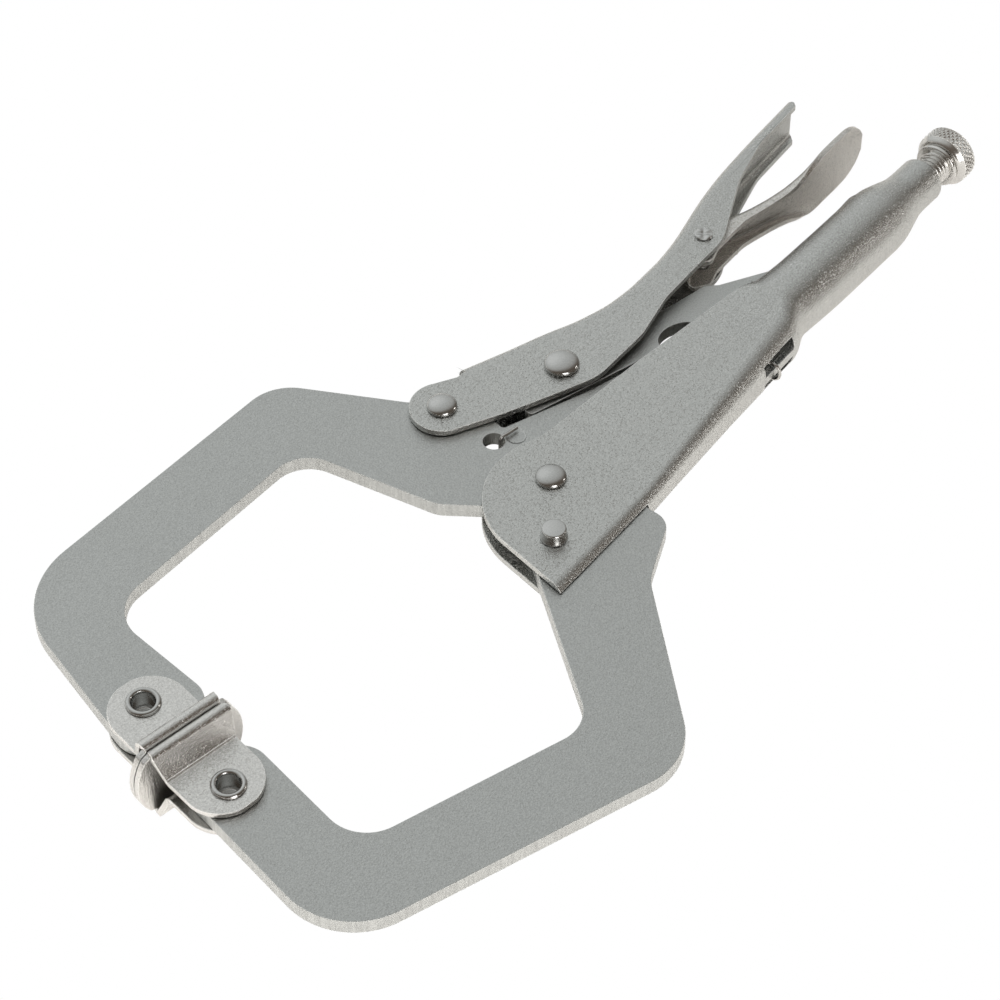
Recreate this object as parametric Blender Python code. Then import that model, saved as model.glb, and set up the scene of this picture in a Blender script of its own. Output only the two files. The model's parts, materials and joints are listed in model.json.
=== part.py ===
"""Locking C-clamp pliers with swivel pads, 275 mm class. Nickel plated steel.

Built lying on its side. Axes of the drawing, in millimetres: X runs along the
screw toward the knob, Y toward the lever, Z is square to the jaw plates. The
drawing's zero is the jaw pivot, in the middle of the plates' thickness.
"""
import bpy
import bmesh
import math

MM = 0.001

# ---- overall placing: bottom centre of the box sits on the world origin ----
SHIFT_X = -15.161
SHIFT_Y = -0.753
SHIFT_Z = 10.4

# ---- plates and sheet ----
PLATE_HALF = 2.0
LINK_HALF = 1.9
GAP = 0.3
SHEET = 1.6
SHEET_RELEASE = 1.4
SHEET_PAD = 1.4
WALL_IN = 2.3
WALL_OUT = 3.9

# ---- joint axes ----
JAW_PIVOT = (0.0, 0.0)
FIXED_RIVET = (-13.3, -11.5)
LEVER_JAW = (1.4, 33.1)
LEVER_LINK = (28.9, 19.9)
RELEASE_PIN = (82.7, 19.2)
SCREW_Y = -6.6
UPPER_EYELET = (-104.7, 26.8)
LOWER_EYELET = (-109.2, -1.8)

# ---- rivets ----
SHANK_R = 2.4
HOLE_R = 2.7
HUB_R = 10.0
BOSS_R = 7.0
LEVER_BOSS_R = 7.7
SPRING_HOLE = (2.0, 18.2)
SPRING_HOLE_R = 2.5
TAIL_HOLE = (42.6, 3.9)
TAIL_HOLE_R = 1.2
PIN_INNER_END = 2.8
RELEASE_SEAT = 6.85
HOOK_WIRE_R = 0.4

# ---- pads ----
PAD_R = 14.0
PAD_FOLD_Z = 10.4
PAD_REACH = 14.5
PAD_HALF_GAP = 0.15
PAD_ANGLE = -8.93
EAR_HALF = 9.1
EAR_END = 6.9
EYELET_R = 3.0
EYELET_BORE_R = 2.55
EYELET_FLANGE_R = 3.95
EYELET_FLOOR_Z = -0.8

# ---- body ----
TUBE_R = 8.4
NECK_R = 5.8
NECK_END_X = 139.0

# ---- screw ----
THREAD_R = 4.0
TIP_X = 98.6
TIP_END_X = 104.0
SCREW_START_X = 104.3
COLLAR_X = 144.5
COLLAR_R = 5.65
KNOB_X = 146.0
KNOB_END_X = 152.2
KNOB_R = 7.15


# ------------------------------------------------------------------ helpers
def clear_scene():
    for obj in list(bpy.data.objects):
        bpy.data.objects.remove(obj, do_unlink=True)


def metal(name, colour, roughness):
    mat = bpy.data.materials.new(name)
    mat.use_nodes = True
    shader = mat.node_tree.nodes["Principled BSDF"]
    shader.inputs["Base Color"].default_value = (colour[0], colour[1], colour[2], 1.0)
    shader.inputs["Metallic"].default_value = 1.0
    shader.inputs["Roughness"].default_value = roughness
    return mat


def place(name, bm, pivot, mat, smooth=35.0):
    """Turn a mesh drawn in millimetres into an object whose origin is on its axis."""
    px, py, pz = pivot
    for v in bm.verts:
        v.co.x = (v.co.x - px) * MM
        v.co.y = (v.co.y - py) * MM
        v.co.z = (v.co.z - pz) * MM
    bmesh.ops.recalc_face_normals(bm, faces=bm.faces[:])
    mesh = bpy.data.meshes.new(name)
    bm.to_mesh(mesh)
    bm.free()
    obj = bpy.data.objects.new(name, mesh)
    bpy.context.scene.collection.objects.link(obj)
    obj.location = ((px + SHIFT_X) * MM, (py + SHIFT_Y) * MM, (pz + SHIFT_Z) * MM)
    if mat is not None:
        mesh.materials.append(mat)
        mesh.shade_smooth()
        mesh.set_sharp_from_angle(angle=math.radians(smooth))
    return obj


def boolean(obj, tool, operation):
    tool.hide_render = True
    tool.display_type = "WIRE"
    mod = obj.modifiers.new(tool.name, "BOOLEAN")
    mod.operation = operation
    mod.solver = "EXACT"
    mod.object = tool


def arc(cx, cy, r, start, end, step=12.0):
    """Points on an arc, angles in degrees."""
    count = max(2, int(math.ceil(abs(end - start) / step)) + 1)
    out = []
    for i in range(count):
        a = math.radians(start + (end - start) * i / (count - 1))
        out.append((cx + r * math.cos(a), cy + r * math.sin(a), 0.0))
    return out


def outline(corners, step=12.0):
    """Polygon from corners (x, y, radius); every corner with a radius is rounded."""
    pts = []
    n = len(corners)
    for i in range(n):
        x, y, r = corners[i]
        if r <= 0.0:
            pts.append((x, y))
            continue
        ax, ay = corners[i - 1][0] - x, corners[i - 1][1] - y
        bx, by = corners[(i + 1) % n][0] - x, corners[(i + 1) % n][1] - y
        la, lb = math.hypot(ax, ay), math.hypot(bx, by)
        ax, ay, bx, by = ax / la, ay / la, bx / lb, by / lb
        half = 0.5 * math.acos(max(-1.0, min(1.0, ax * bx + ay * by)))
        reach = min(r / math.tan(half), 0.98 * la, 0.98 * lb)
        rr = reach * math.tan(half)
        mx, my = ax + bx, ay + by
        lm = math.hypot(mx, my)
        dist = rr / math.sin(half)
        cx, cy = x + mx / lm * dist, y + my / lm * dist
        s = math.atan2(y + ay * reach - cy, x + ax * reach - cx)
        e = math.atan2(y + by * reach - cy, x + bx * reach - cx)
        turn = (e - s + math.pi) % (2 * math.pi) - math.pi
        steps = max(2, int(math.ceil(abs(math.degrees(turn)) / step)))
        for k in range(steps + 1):
            a = s + turn * k / steps
            pts.append((cx + rr * math.cos(a), cy + rr * math.sin(a)))
    return pts


def prism(points, z0, z1):
    bm = bmesh.new()
    low = [bm.verts.new((x, y, z0)) for x, y in points]
    top = [bm.verts.new((x, y, z1)) for x, y in points]
    n = len(points)
    for i in range(n):
        j = (i + 1) % n
        bm.faces.new((low[i], low[j], top[j], top[i]))
    bm.faces.new(low[::-1])
    bm.faces.new(top)
    return bm


def box(x0, x1, y0, y1, z0, z1):
    return prism([(x0, y0), (x1, y0), (x1, y1), (x0, y1)], z0, z1)


def loft(rings):
    """Skin over rings with the same number of points; the rings are flat loops."""
    bm = bmesh.new()
    rows = [[bm.verts.new(p) for p in ring] for ring in rings]
    n = len(rows[0])
    for a, b in zip(rows, rows[1:]):
        for i in range(n):
            j = (i + 1) % n
            bm.faces.new((a[i], a[j], b[j], b[i]))
    half = n // 2
    for row in (rows[0], rows[-1]):
        for i in range(half - 1):
            bm.faces.new((row[i], row[i + 1], row[n - 2 - i], row[n - 1 - i]))
    return bm


def turned(profile, cx, cy, segments=40):
    """Solid of revolution about a line parallel to Z; profile is (radius, z)."""
    bm = bmesh.new()
    rows = []
    for r, z in profile:
        if r < 1e-6:
            rows.append([bm.verts.new((cx, cy, z))])
            continue
        row = []
        for k in range(segments):
            a = 2 * math.pi * k / segments
            row.append(bm.verts.new((cx + r * math.cos(a), cy + r * math.sin(a), z)))
        rows.append(row)
    for a, b in zip(rows, rows[1:]):
        for k in range(segments):
            m = (k + 1) % segments
            if len(a) == 1:
                bm.faces.new((a[0], b[k], b[m]))
            elif len(b) == 1:
                bm.faces.new((a[k], a[m], b[0]))
            else:
                bm.faces.new((a[k], a[m], b[m], b[k]))
    return bm


def lay_along_x(bm, y):
    """Move a solid turned about Z so that its axis is X at height y of the drawing."""
    for v in bm.verts:
        x0, y0, z0 = v.co
        v.co = (z0, y + y0, -x0)


def walk(pieces):
    """Follow straight and bent stretches (length, turn in degrees, steps)."""
    v, z, a = 0.0, 0.0, 0.0
    out = [(v, z, a)]
    for length, turn, steps in pieces:
        da = math.radians(turn) / steps
        dl = length / steps
        if abs(da) > 1e-6:
            dl = dl * math.sin(da / 2) / (da / 2)
        for _ in range(steps):
            v += dl * math.sin(a + da / 2)
            z += dl * math.cos(a + da / 2)
            a += da
            out.append((v, z, a))
    return out


def channel_ring(x, base, side, sheet, pieces):
    """Section of bent sheet at x. The web's outer face is at y = base and the
    walls run toward side (+1 for +Y, -1 for -Y)."""
    outer, inner = [], []
    for v, z, a in walk(pieces):
        nv, nz = -math.cos(a) * sheet / 2, math.sin(a) * sheet / 2
        outer.append((v + sheet / 2 + nv, z + nz))
        inner.append((v + sheet / 2 - nv, z - nz))
    loop = [(v, -z) for v, z in outer[:0:-1]] + outer
    loop += inner[::-1] + [(v, -z) for v, z in inner[1:]]
    return [(x, base + side * v, z) for v, z in loop]


def rod_through(name, pivot, radius, half_length):
    """Round cutter square to the plates."""
    points = [(x, y) for x, y, _ in arc(pivot[0], pivot[1], radius, 0, 345, 15.0)]
    return prism(points, -half_length, half_length)


def drill(obj, origin, pivot, radius, half_length, label):
    bm = rod_through(label, pivot, radius, half_length)
    tool = place(label, bm, origin, None)
    boolean(obj, tool, "DIFFERENCE")


def flat(pivot):
    return (pivot[0], pivot[1], 0.0)


# ---------------------------------------------------------------- materials
def make_materials():
    return {
        "plate": metal("satin_nickel", (0.60, 0.61, 0.60), 0.42),
        "sheet": metal("nickel_sheet", (0.64, 0.63, 0.61), 0.38),
        "bright": metal("bright_rivet", (0.72, 0.71, 0.69), 0.22),
        "screw": metal("bright_screw", (0.75, 0.74, 0.72), 0.25),
        "spring": metal("spring_wire", (0.62, 0.61, 0.58), 0.30),
    }


# ------------------------------------------------------------------- plates
def moving_jaw(mat):
    ax, ay = LEVER_JAW
    corners = arc(0, 0, HUB_R, 175, 284.5)
    corners += [
        (46.2, 1.6, 1.5),
        (46.2, 6.6, 1.2),
        (28.5, 11.2, 20.0),
        (6.5, 19.2, 1.0),
        (7.3, 24.0, 4.0),
    ]
    corners += arc(ax, ay, BOSS_R, -10, 96)
    corners += [
        (-1.0, 41.2, 2.5),
        (-16.6, 69.5, 12.0),
        (-100.8, 71.3, 22.0),
        (-115.6, 18.9, 7.0),
        (-93.3, 15.4, 7.0),
        (-90.2, 51.2, 10.0),
        (-28.3, 50.6, 9.0),
        (-21.0, 15.8, 8.0),
    ]
    bm = prism(outline(corners), -PLATE_HALF, PLATE_HALF)
    obj = place("moving_jaw", bm, flat(JAW_PIVOT), mat)
    for label, at, radius in (
        ("cut_jaw_pivot", JAW_PIVOT, HOLE_R),
        ("cut_jaw_lever", LEVER_JAW, HOLE_R),
        ("cut_jaw_hole", SPRING_HOLE, SPRING_HOLE_R),
        ("cut_jaw_tail", TAIL_HOLE, TAIL_HOLE_R),
        ("cut_jaw_eyelet", UPPER_EYELET, EYELET_R + GAP),
    ):
        drill(obj, flat(JAW_PIVOT), at, radius, 6.0, label)
    return obj


def fixed_jaw(mat):
    corners = [
        (-114.7, 8.7, 7.0),
        (-124.4, -44.0, 18.0),
        (-42.0, -72.0, 16.0),
        (-8.4, -34.7, 13.0),
        (8.2, -27.3, 5.0),
        (8.1, -18.0, 2.0),
        (3.6, -12.8, 1.5),
    ]
    corners += arc(0, 0, HUB_R + 0.45, 258, 206)
    corners += [
        (-16.6, -6.0, 2.0),
        (-48.5, -49.3, 9.0),
        (-102.9, -31.4, 10.0),
        (-96.3, 5.8, 7.0),
    ]
    bm = prism(outline(corners), -PLATE_HALF, PLATE_HALF)
    obj = place("fixed_jaw", bm, flat(FIXED_RIVET), mat)
    drill(obj, flat(FIXED_RIVET), FIXED_RIVET, HOLE_R, 6.0, "cut_fixed_rivet")
    drill(obj, flat(FIXED_RIVET), LOWER_EYELET, EYELET_R + GAP, 6.0, "cut_fixed_eyelet")
    return obj


def toggle_link(mat):
    corners = [
        (13.9, 16.8, 1.5),
        (47.9, 6.9, 1.5),
        (50.0, 2.6, 2.0),
        (53.6, -1.9, 5.0),
        (76.0, -8.2, 10.0),
        (90.0, -10.4, 4.0),
        (95.3, -10.4, 3.2),
        (95.3, -2.8, 3.2),
        (88.5, 1.5, 4.0),
        (75.2, 9.0, 2.0),
        (73.2, 11.4, 2.5),
        (58.5, 14.4, 8.0),
        (34.5, 27.9, 6.5),
        (23.5, 27.9, 6.5),
        (17.8, 20.9, 4.0),
        (13.9, 18.9, 1.2),
    ]
    bm = prism(outline(corners), -LINK_HALF, LINK_HALF)
    obj = place("toggle_link", bm, flat(LEVER_LINK), mat)
    drill(obj, flat(LEVER_LINK), LEVER_LINK, HOLE_R, 6.0, "cut_link_lever")
    slant = math.radians(-21.0)
    oval = []
    for k in range(28):
        a = 2 * math.pi * k / 28
        u, w = 6.0 * math.cos(a), 4.3 * math.sin(a)
        x = 56.0 + u * math.cos(slant) - w * math.sin(slant)
        y = 5.2 + u * math.sin(slant) + w * math.cos(slant)
        oval.append((x, y))
    tool = place("cut_link_oval", prism(oval, -6.0, 6.0), flat(LEVER_LINK), None)
    boolean(obj, tool, "DIFFERENCE")
    return obj


# ----------------------------------------------------------------- channels
def body_shell(mat):
    rings = []
    # front: open channel (x, web, half width, bend radius, wall height)
    for x, web, half, bend, top in (
        (-25.0, -22.6, 3.9, 3.0, 16.0),
        (-8.0, -22.0, 3.9, 3.0, 16.0),
        (9.0, -21.4, 3.9, 3.0, 16.0),
        (22.0, -20.3, 4.4, 3.3, 14.0),
        (35.0, -19.3, 5.0, 3.8, 12.0),
        (48.0, -18.4, 5.75, 4.5, 10.0),
        (60.0, -17.7, 6.5, 5.2, 8.0),
        (71.0, -17.1, 7.2, 6.0, 5.5),
    ):
        r = bend - SHEET / 2
        lip = 5.0
        rise = top - web - bend - lip
        pieces = [(half - bend, 0, 1), (r * math.pi / 2, 90, 6), (rise, 0, 1), (lip, 0, 6)]
        rings.append(channel_ring(x, web, 1, SHEET, pieces))
    # rear: the lips roll in and the tube necks down over the screw
    for x, radius, sheet, rise, roll in (
        (79.0, 7.9, 1.6, 1.9, 50.0),
        (85.0, 8.1, 1.6, 1.0, 57.0),
        (90.0, 8.3, 1.6, 0.5, 60.0),
        (96.0, TUBE_R, 1.55, 0.3, 60.0),
        (104.0, TUBE_R, 1.5, 0.2, 63.0),
        (112.0, TUBE_R, 1.5, 0.2, 63.0),
        (117.5, TUBE_R, 1.5, 0.5, 63.0),
        (119.0, 8.3, 1.5, 0.2, 63.0),
        (121.5, 8.0, 1.5, 0.2, 65.0),
        (124.0, 7.4, 1.45, 0.2, 69.0),
        (127.0, 6.6, 1.35, 0.2, 76.0),
        (129.2, 6.05, 1.3, 0.2, 82.0),
        (131.5, NECK_R, 1.25, 0.2, 86.0),
        (138.4, NECK_R, 1.25, 0.2, 86.0),
        (NECK_END_X, NECK_R - 0.35, 0.9, 0.2, 86.0),
    ):
        mid = radius - sheet / 2
        bend = mid - 0.2
        lip = mid * math.radians(roll)
        pieces = [(0.2, 0, 1), (bend * math.pi / 2, 90, 6), (rise, 0, 1), (lip, roll, 6)]
        rings.append(channel_ring(x, SCREW_Y - radius, 1, sheet, pieces))
    obj = place("body_shell", loft(rings), flat(JAW_PIVOT), mat, 32.0)
    side = outline([
        (-24.4, -40.0, 0.0),
        (150.0, -40.0, 0.0),
        (150.0, 12.0, 0.0),
        (79.4, 12.0, 0.0),
        (78.2, 1.4, 0.0),
        (77.0, 0.7, 1.0),
        (70.0, 2.2, 8.0),
        (40.0, 6.6, 30.0),
        (9.0, 9.7, 20.0),
        (2.0, 12.2, 10.0),
        (-18.6, 13.6, 19.0),
        (-24.4, -23.0, 0.0),
    ])
    tool = place("trim_body", prism(side, -30.0, 30.0), flat(JAW_PIVOT), None)
    boolean(obj, tool, "INTERSECT")
    slot = place("cut_body_slot", box(-40, 8.6, -40, -12, -WALL_IN, WALL_IN), flat(JAW_PIVOT), None)
    boolean(obj, slot, "DIFFERENCE")
    for sign, label in ((1, "cut_anchor_up"), (-1, "cut_anchor_down")):
        z0, z1 = sorted((1.2 * sign, 4.4 * sign))
        tool = place(label, box(58.0, 70.0, -30.0, -12.0, z0, z1), flat(JAW_PIVOT), None)
        boolean(obj, tool, "DIFFERENCE")
    drill(obj, flat(JAW_PIVOT), JAW_PIVOT, HOLE_R, 12.0, "cut_body_pivot")
    drill(obj, flat(JAW_PIVOT), FIXED_RIVET, HOLE_R, 12.0, "cut_body_fixed")
    return obj


def lever_handle(mat):
    rings = []
    for x, web, half, bend in (
        (-8.0, 50.0, 3.9, 2.4),
        (12.6, 50.0, 3.9, 2.4),
        (13.4, 38.2, 3.9, 2.4),
        (24.0, 34.1, 4.15, 2.4),
        (34.5, 30.1, 4.7, 2.5),
        (43.0, 26.5, 5.15, 2.6),
        (52.5, 23.9, 5.7, 2.7),
        (60.0, 23.2, 6.2, 2.8),
        (68.5, 23.4, 6.5, 2.9),
        (77.0, 24.5, 6.6, 3.0),
        (86.0, 26.6, 6.6, 3.0),
        (95.0, 28.7, 6.6, 3.0),
        (105.0, 30.3, 6.6, 3.0),
        (120.0, 31.7, 6.6, 2.9),
        (137.0, 32.8, 6.6, 2.6),
    ):
        r = bend - SHEET / 2
        pieces = [(half - bend, 0, 1), (r * math.pi / 2, 90, 5), (34.0, 0, 1)]
        rings.append(channel_ring(x, web, -1, SHEET, pieces))
    ax, ay = LEVER_JAW
    obj = place("lever_handle", loft(rings), flat(LEVER_JAW), mat, 32.0)
    corners = arc(ax, ay, LEVER_BOSS_R, 55, 238)
    corners += [
        (9.0, 20.7, 12.0),
        (31.5, 10.9, 14.0),
        (48.0, 10.9, 16.0),
        (60.5, 13.5, 10.0),
        (84.5, 14.6, 14.0),
        (104.0, 24.2, 26.0),
        (118.0, 28.1, 20.0),
        (134.6, 29.4, 0.5),
        (135.6, 30.6, 0.0),
        (135.6, 60.0, 0.0),
        (13.5, 60.0, 0.0),
        (13.5, 36.3, 0.0),
        (10.9, 36.5, 1.5),
    ]
    tool = place("trim_lever", prism(outline(corners), -30.0, 30.0), flat(LEVER_JAW), None)
    boolean(obj, tool, "INTERSECT")
    drill(obj, flat(LEVER_JAW), LEVER_JAW, HOLE_R, 12.0, "cut_lever_jaw")
    drill(obj, flat(LEVER_JAW), LEVER_LINK, HOLE_R, 12.0, "cut_lever_link")
    drill(obj, flat(LEVER_JAW), RELEASE_PIN, 1.9, 12.0, "cut_lever_release")
    return obj


def release_lever(mat):
    rings = []
    for x, web, flat_half, bend, turn, wall in (
        (73.5, 17.6, 2.2, 1.8, 90, 14.0),
        (77.0, 20.6, 2.2, 1.8, 90, 14.0),
        (80.0, 22.0, 2.2, 1.8, 90, 14.0),
        (86.0, 22.4, 2.2, 1.8, 90, 12.0),
        (91.0, 21.3, 2.2, 1.8, 90, 3.9),
        (94.0, 20.2, 2.2, 1.8, 90, 2.15),
        (98.0, 18.7, 2.2, 1.8, 90, 1.2),
        (104.0, 17.1, 2.3, 1.8, 90, 0.8),
        (109.0, 16.0, 2.6, 1.9, 86, 0.7),
        (113.5, 15.1, 3.2, 2.2, 64, 0.6),
        (118.0, 14.4, 4.0, 2.3, 36, 0.5),
        (123.0, 14.1, 4.6, 2.2, 14, 0.4),
        (129.0, 14.1, 4.6, 2.2, 6, 0.4),
        (134.0, 14.2, 4.4, 2.1, 4, 0.4),
        (137.0, 14.2, 3.8, 1.7, 4, 0.3),
        (139.2, 14.2, 2.6, 1.2, 4, 0.3),
        (140.6, 14.2, 1.0, 0.7, 4, 0.2),
    ):
        pieces = [(flat_half, 0, 1), (bend * math.pi / 2, turn, 5), (wall, 0, 1)]
        rings.append(channel_ring(x, web, -1, SHEET_RELEASE, pieces))
    obj = place("release_lever", loft(rings), flat(RELEASE_PIN), mat, 32.0)
    side = outline([
        (75.0, 16.0, 1.5),
        (78.6, 13.5, 1.5),
        (83.5, 15.1, 5.0),
        (92.0, 15.5, 0.0),
        (94.0, 13.0, 0.0),
        (95.0, 5.0, 0.0),
        (150.0, 5.0, 0.0),
        (150.0, 40.0, 0.0),
        (75.4, 40.0, 0.0),
    ])
    tool = place("trim_release", prism(side, -30.0, 30.0), flat(RELEASE_PIN), None)
    boolean(obj, tool, "INTERSECT")
    drill(obj, flat(RELEASE_PIN), RELEASE_PIN, 1.9, 12.0, "cut_release_pin")
    return obj


# --------------------------------------------------------------------- pads
def pad(name, eyelet, up, mat):
    """One folded stamping: round face, two folds, two ears. The face looks
    toward +n (up = 1) or -n (up = -1) of the gap between the jaws."""
    back = PAD_HALF_GAP + SHEET_PAD / 2
    bend = 0.9
    fold_z = PAD_FOLD_Z - SHEET_PAD / 2 - bend
    mid = []
    ear_z = WALL_IN + SHEET_PAD / 2
    tip = -(PAD_REACH + EAR_END)
    for k in range(9):
        t = math.radians(12.0 + 9.75 * k)
        n = -12.4 + (tip + 12.4) * math.cos(t)
        mid.append((n, ear_z, EAR_HALF * math.sin(t)))
    mid.append((-8.0, ear_z, EAR_HALF))
    mid.append((-6.0, ear_z, EAR_HALF + 0.05))
    mid.append((-5.25, ear_z + 0.1, EAR_HALF + 0.1))
    mid.append((-4.75, ear_z + 0.45, EAR_HALF + 0.15))
    for a in (158, 124, 90, 56, 28, 0):
        n = -(back + bend) + bend * math.cos(math.radians(a))
        z = fold_z + bend * math.sin(math.radians(a))
        mid.append((n, z, math.sqrt(PAD_R ** 2 - max(z, PAD_FOLD_Z - 0.4 - a * 0.004) ** 2)))
    for z in (7.0, 5.0, 3.0, 1.0):
        mid.append((-back, z, math.sqrt(PAD_R ** 2 - z ** 2)))
    path = mid + [(n, -z, w) for n, z, w in reversed(mid)]
    angle = math.radians(PAD_ANGLE)
    rings = []
    count = len(path)
    for i in range(count):
        n, z, w = path[i]
        n0, z0, _ = path[max(i - 1, 0)]
        n1, z1, _ = path[min(i + 1, count - 1)]
        length = math.hypot(n1 - n0, z1 - z0)
        tn, tz = (n1 - n0) / length, (z1 - z0) / length
        h = SHEET_PAD / 2
        ring = []
        for s, side in ((-w, 1), (w, 1), (w, -1), (-w, -1)):
            nn = n - tz * h * side + PAD_REACH
            zz = z + tn * h * side
            x = eyelet[0] + s * math.cos(angle) - up * nn * math.sin(angle)
            y = eyelet[1] + s * math.sin(angle) + up * nn * math.cos(angle)
            ring.append((x, y, zz))
        rings.append(ring)
    bm = loft(rings)
    obj = place(name, bm, flat(eyelet), mat, 32.0)
    drill(obj, flat(eyelet), eyelet, EYELET_R + GAP, 8.0, "cut_" + name)
    return obj


def eyelet_rivet(name, at, mat):
    """Half hollow rivet: rolled rim and blind bore on top, plain head below."""
    top = WALL_IN + SHEET_PAD + 0.2
    profile = [
        (0.0, -top - 0.8),
        (EYELET_BORE_R, -top - 0.8),
        (EYELET_FLANGE_R - 0.3, -top - 0.6),
        (EYELET_FLANGE_R, -top - 0.3),
        (EYELET_FLANGE_R - 0.2, -top),
        (EYELET_R, -top),
        (EYELET_R, top),
        (EYELET_FLANGE_R - 0.2, top),
        (EYELET_FLANGE_R, top + 0.3),
        (EYELET_FLANGE_R - 0.3, top + 0.6),
        (EYELET_BORE_R + 0.3, top + 0.8),
        (EYELET_BORE_R, top + 0.6),
        (EYELET_BORE_R, EYELET_FLOOR_Z),
        (0.0, EYELET_FLOOR_Z),
    ]
    return place(name, turned(profile, at[0], at[1], 36), flat(at), mat)


# ------------------------------------------------------------------- rivets
def domed_rivet(name, at, head_r, seat, rise, mat):
    half = [(0.0, seat + rise)]
    for k in range(1, 6):
        t = math.radians(90.0 * k / 5)
        half.append((head_r * math.sin(t), seat + 0.25 + (rise - 0.25) * math.cos(t)))
    half.append((head_r, seat))
    half.append((SHANK_R, seat))
    profile = [(r, -z) for r, z in half] + [(r, z) for r, z in reversed(half)]
    return place(name, turned(profile, at[0], at[1], 36), flat(at), mat)


def flat_rivet(name, at, mat):
    seat = WALL_OUT + 0.25
    half = [
        (0.0, 6.9),
        (2.55, 6.9),
        (2.8, 6.65),
        (3.0, seat + 0.7),
        (3.15, seat + 0.3),
        (3.15, seat),
        (SHANK_R, seat),
    ]
    profile = [(r, -z) for r, z in half] + [(r, z) for r, z in reversed(half)]
    return place(name, turned(profile, at[0], at[1], 36), flat(at), mat)


def release_pin(name, side, mat):
    """Short pin pressed through one wall of the lever into one flange of the release lever."""
    seat = RELEASE_SEAT
    profile = [
        (0.0, PIN_INNER_END),
        (1.3, PIN_INNER_END),
        (1.6, PIN_INNER_END + 0.3),
        (1.6, seat),
        (2.2, seat),
        (2.2, seat + 0.2),
        (1.8, seat + 0.5),
        (1.25, seat + 0.5),
        (1.0, seat + 0.05),
        (0.0, seat + 0.05),
    ]
    profile = [(r, side * z) for r, z in profile]
    bm = turned(profile, RELEASE_PIN[0], RELEASE_PIN[1], 28)
    return place(name, bm, flat(RELEASE_PIN), mat)


# -------------------------------------------------------------------- screw
def on_screw_axis(name, profile, origin_x, mat, segments=40):
    bm = turned(profile, 0.0, 0.0, segments)
    lay_along_x(bm, SCREW_Y)
    return place(name, bm, (origin_x, SCREW_Y, 0.0), mat)


def thrust_tip(mat):
    profile = [(0.0, TIP_X), (1.8, TIP_X), (3.0, TIP_X + 0.9), (3.4, TIP_X + 1.8)]
    profile += [(3.4, TIP_END_X - 0.3), (3.1, TIP_END_X), (0.0, TIP_END_X)]
    return on_screw_axis("thrust_tip", profile, TIP_X, mat)


def adjusting_screw(mat):
    profile = [
        (0.0, SCREW_START_X),
        (3.1, SCREW_START_X),
        (THREAD_R, SCREW_START_X + 0.9),
        (THREAD_R, COLLAR_X),
        (COLLAR_R - 0.3, COLLAR_X),
        (COLLAR_R, COLLAR_X + 0.3),
        (COLLAR_R, COLLAR_X + 0.9),
        (COLLAR_R - 0.3, COLLAR_X + 1.2),
        (3.0, COLLAR_X + 1.2),
        (3.0, KNOB_X + 4.3),
        (0.0, KNOB_X + 4.3),
    ]
    return on_screw_axis("adjusting_screw", profile, SCREW_START_X, mat)


def knob(mat):
    profile = [
        (0.0, KNOB_X + 4.6),
        (3.3, KNOB_X + 4.6),
        (3.3, KNOB_X),
        (KNOB_R - 1.0, KNOB_X),
        (KNOB_R, KNOB_X + 0.8),
        (KNOB_R, KNOB_END_X - 0.8),
        (KNOB_R - 0.8, KNOB_END_X),
        (0.0, KNOB_END_X),
    ]
    return on_screw_axis("knob", profile, KNOB_X, mat, 48)


# ------------------------------------------------------------------- spring
def wire(points, radius, sides=7):
    """Round wire along a line of points, closed at both ends."""
    bm = bmesh.new()
    count = len(points)
    rows = []
    normal = None
    for i in range(count):
        p0 = points[max(i - 1, 0)]
        p1 = points[min(i + 1, count - 1)]
        t = [p1[k] - p0[k] for k in range(3)]
        ln = math.sqrt(sum(c * c for c in t))
        t = [c / ln for c in t]
        if normal is None:
            normal = [1.0, 0.0, 0.0]
        d = sum(normal[k] * t[k] for k in range(3))
        normal = [normal[k] - d * t[k] for k in range(3)]
        ln = math.sqrt(sum(c * c for c in normal))
        normal = [c / ln for c in normal]
        b = [
            t[1] * normal[2] - t[2] * normal[1],
            t[2] * normal[0] - t[0] * normal[2],
            t[0] * normal[1] - t[1] * normal[0],
        ]
        row = []
        for s in range(sides):
            a = 2 * math.pi * s / sides
            c, w = radius * math.cos(a), radius * math.sin(a)
            row.append(bm.verts.new([points[i][k] + c * normal[k] + w * b[k] for k in range(3)]))
        rows.append(row)
    for a, b in zip(rows, rows[1:]):
        for s in range(sides):
            m = (s + 1) % sides
            bm.faces.new((a[s], a[m], b[m], b[s]))
    bm.faces.new(rows[0][::-1])
    bm.faces.new(rows[-1])
    return bm


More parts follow.
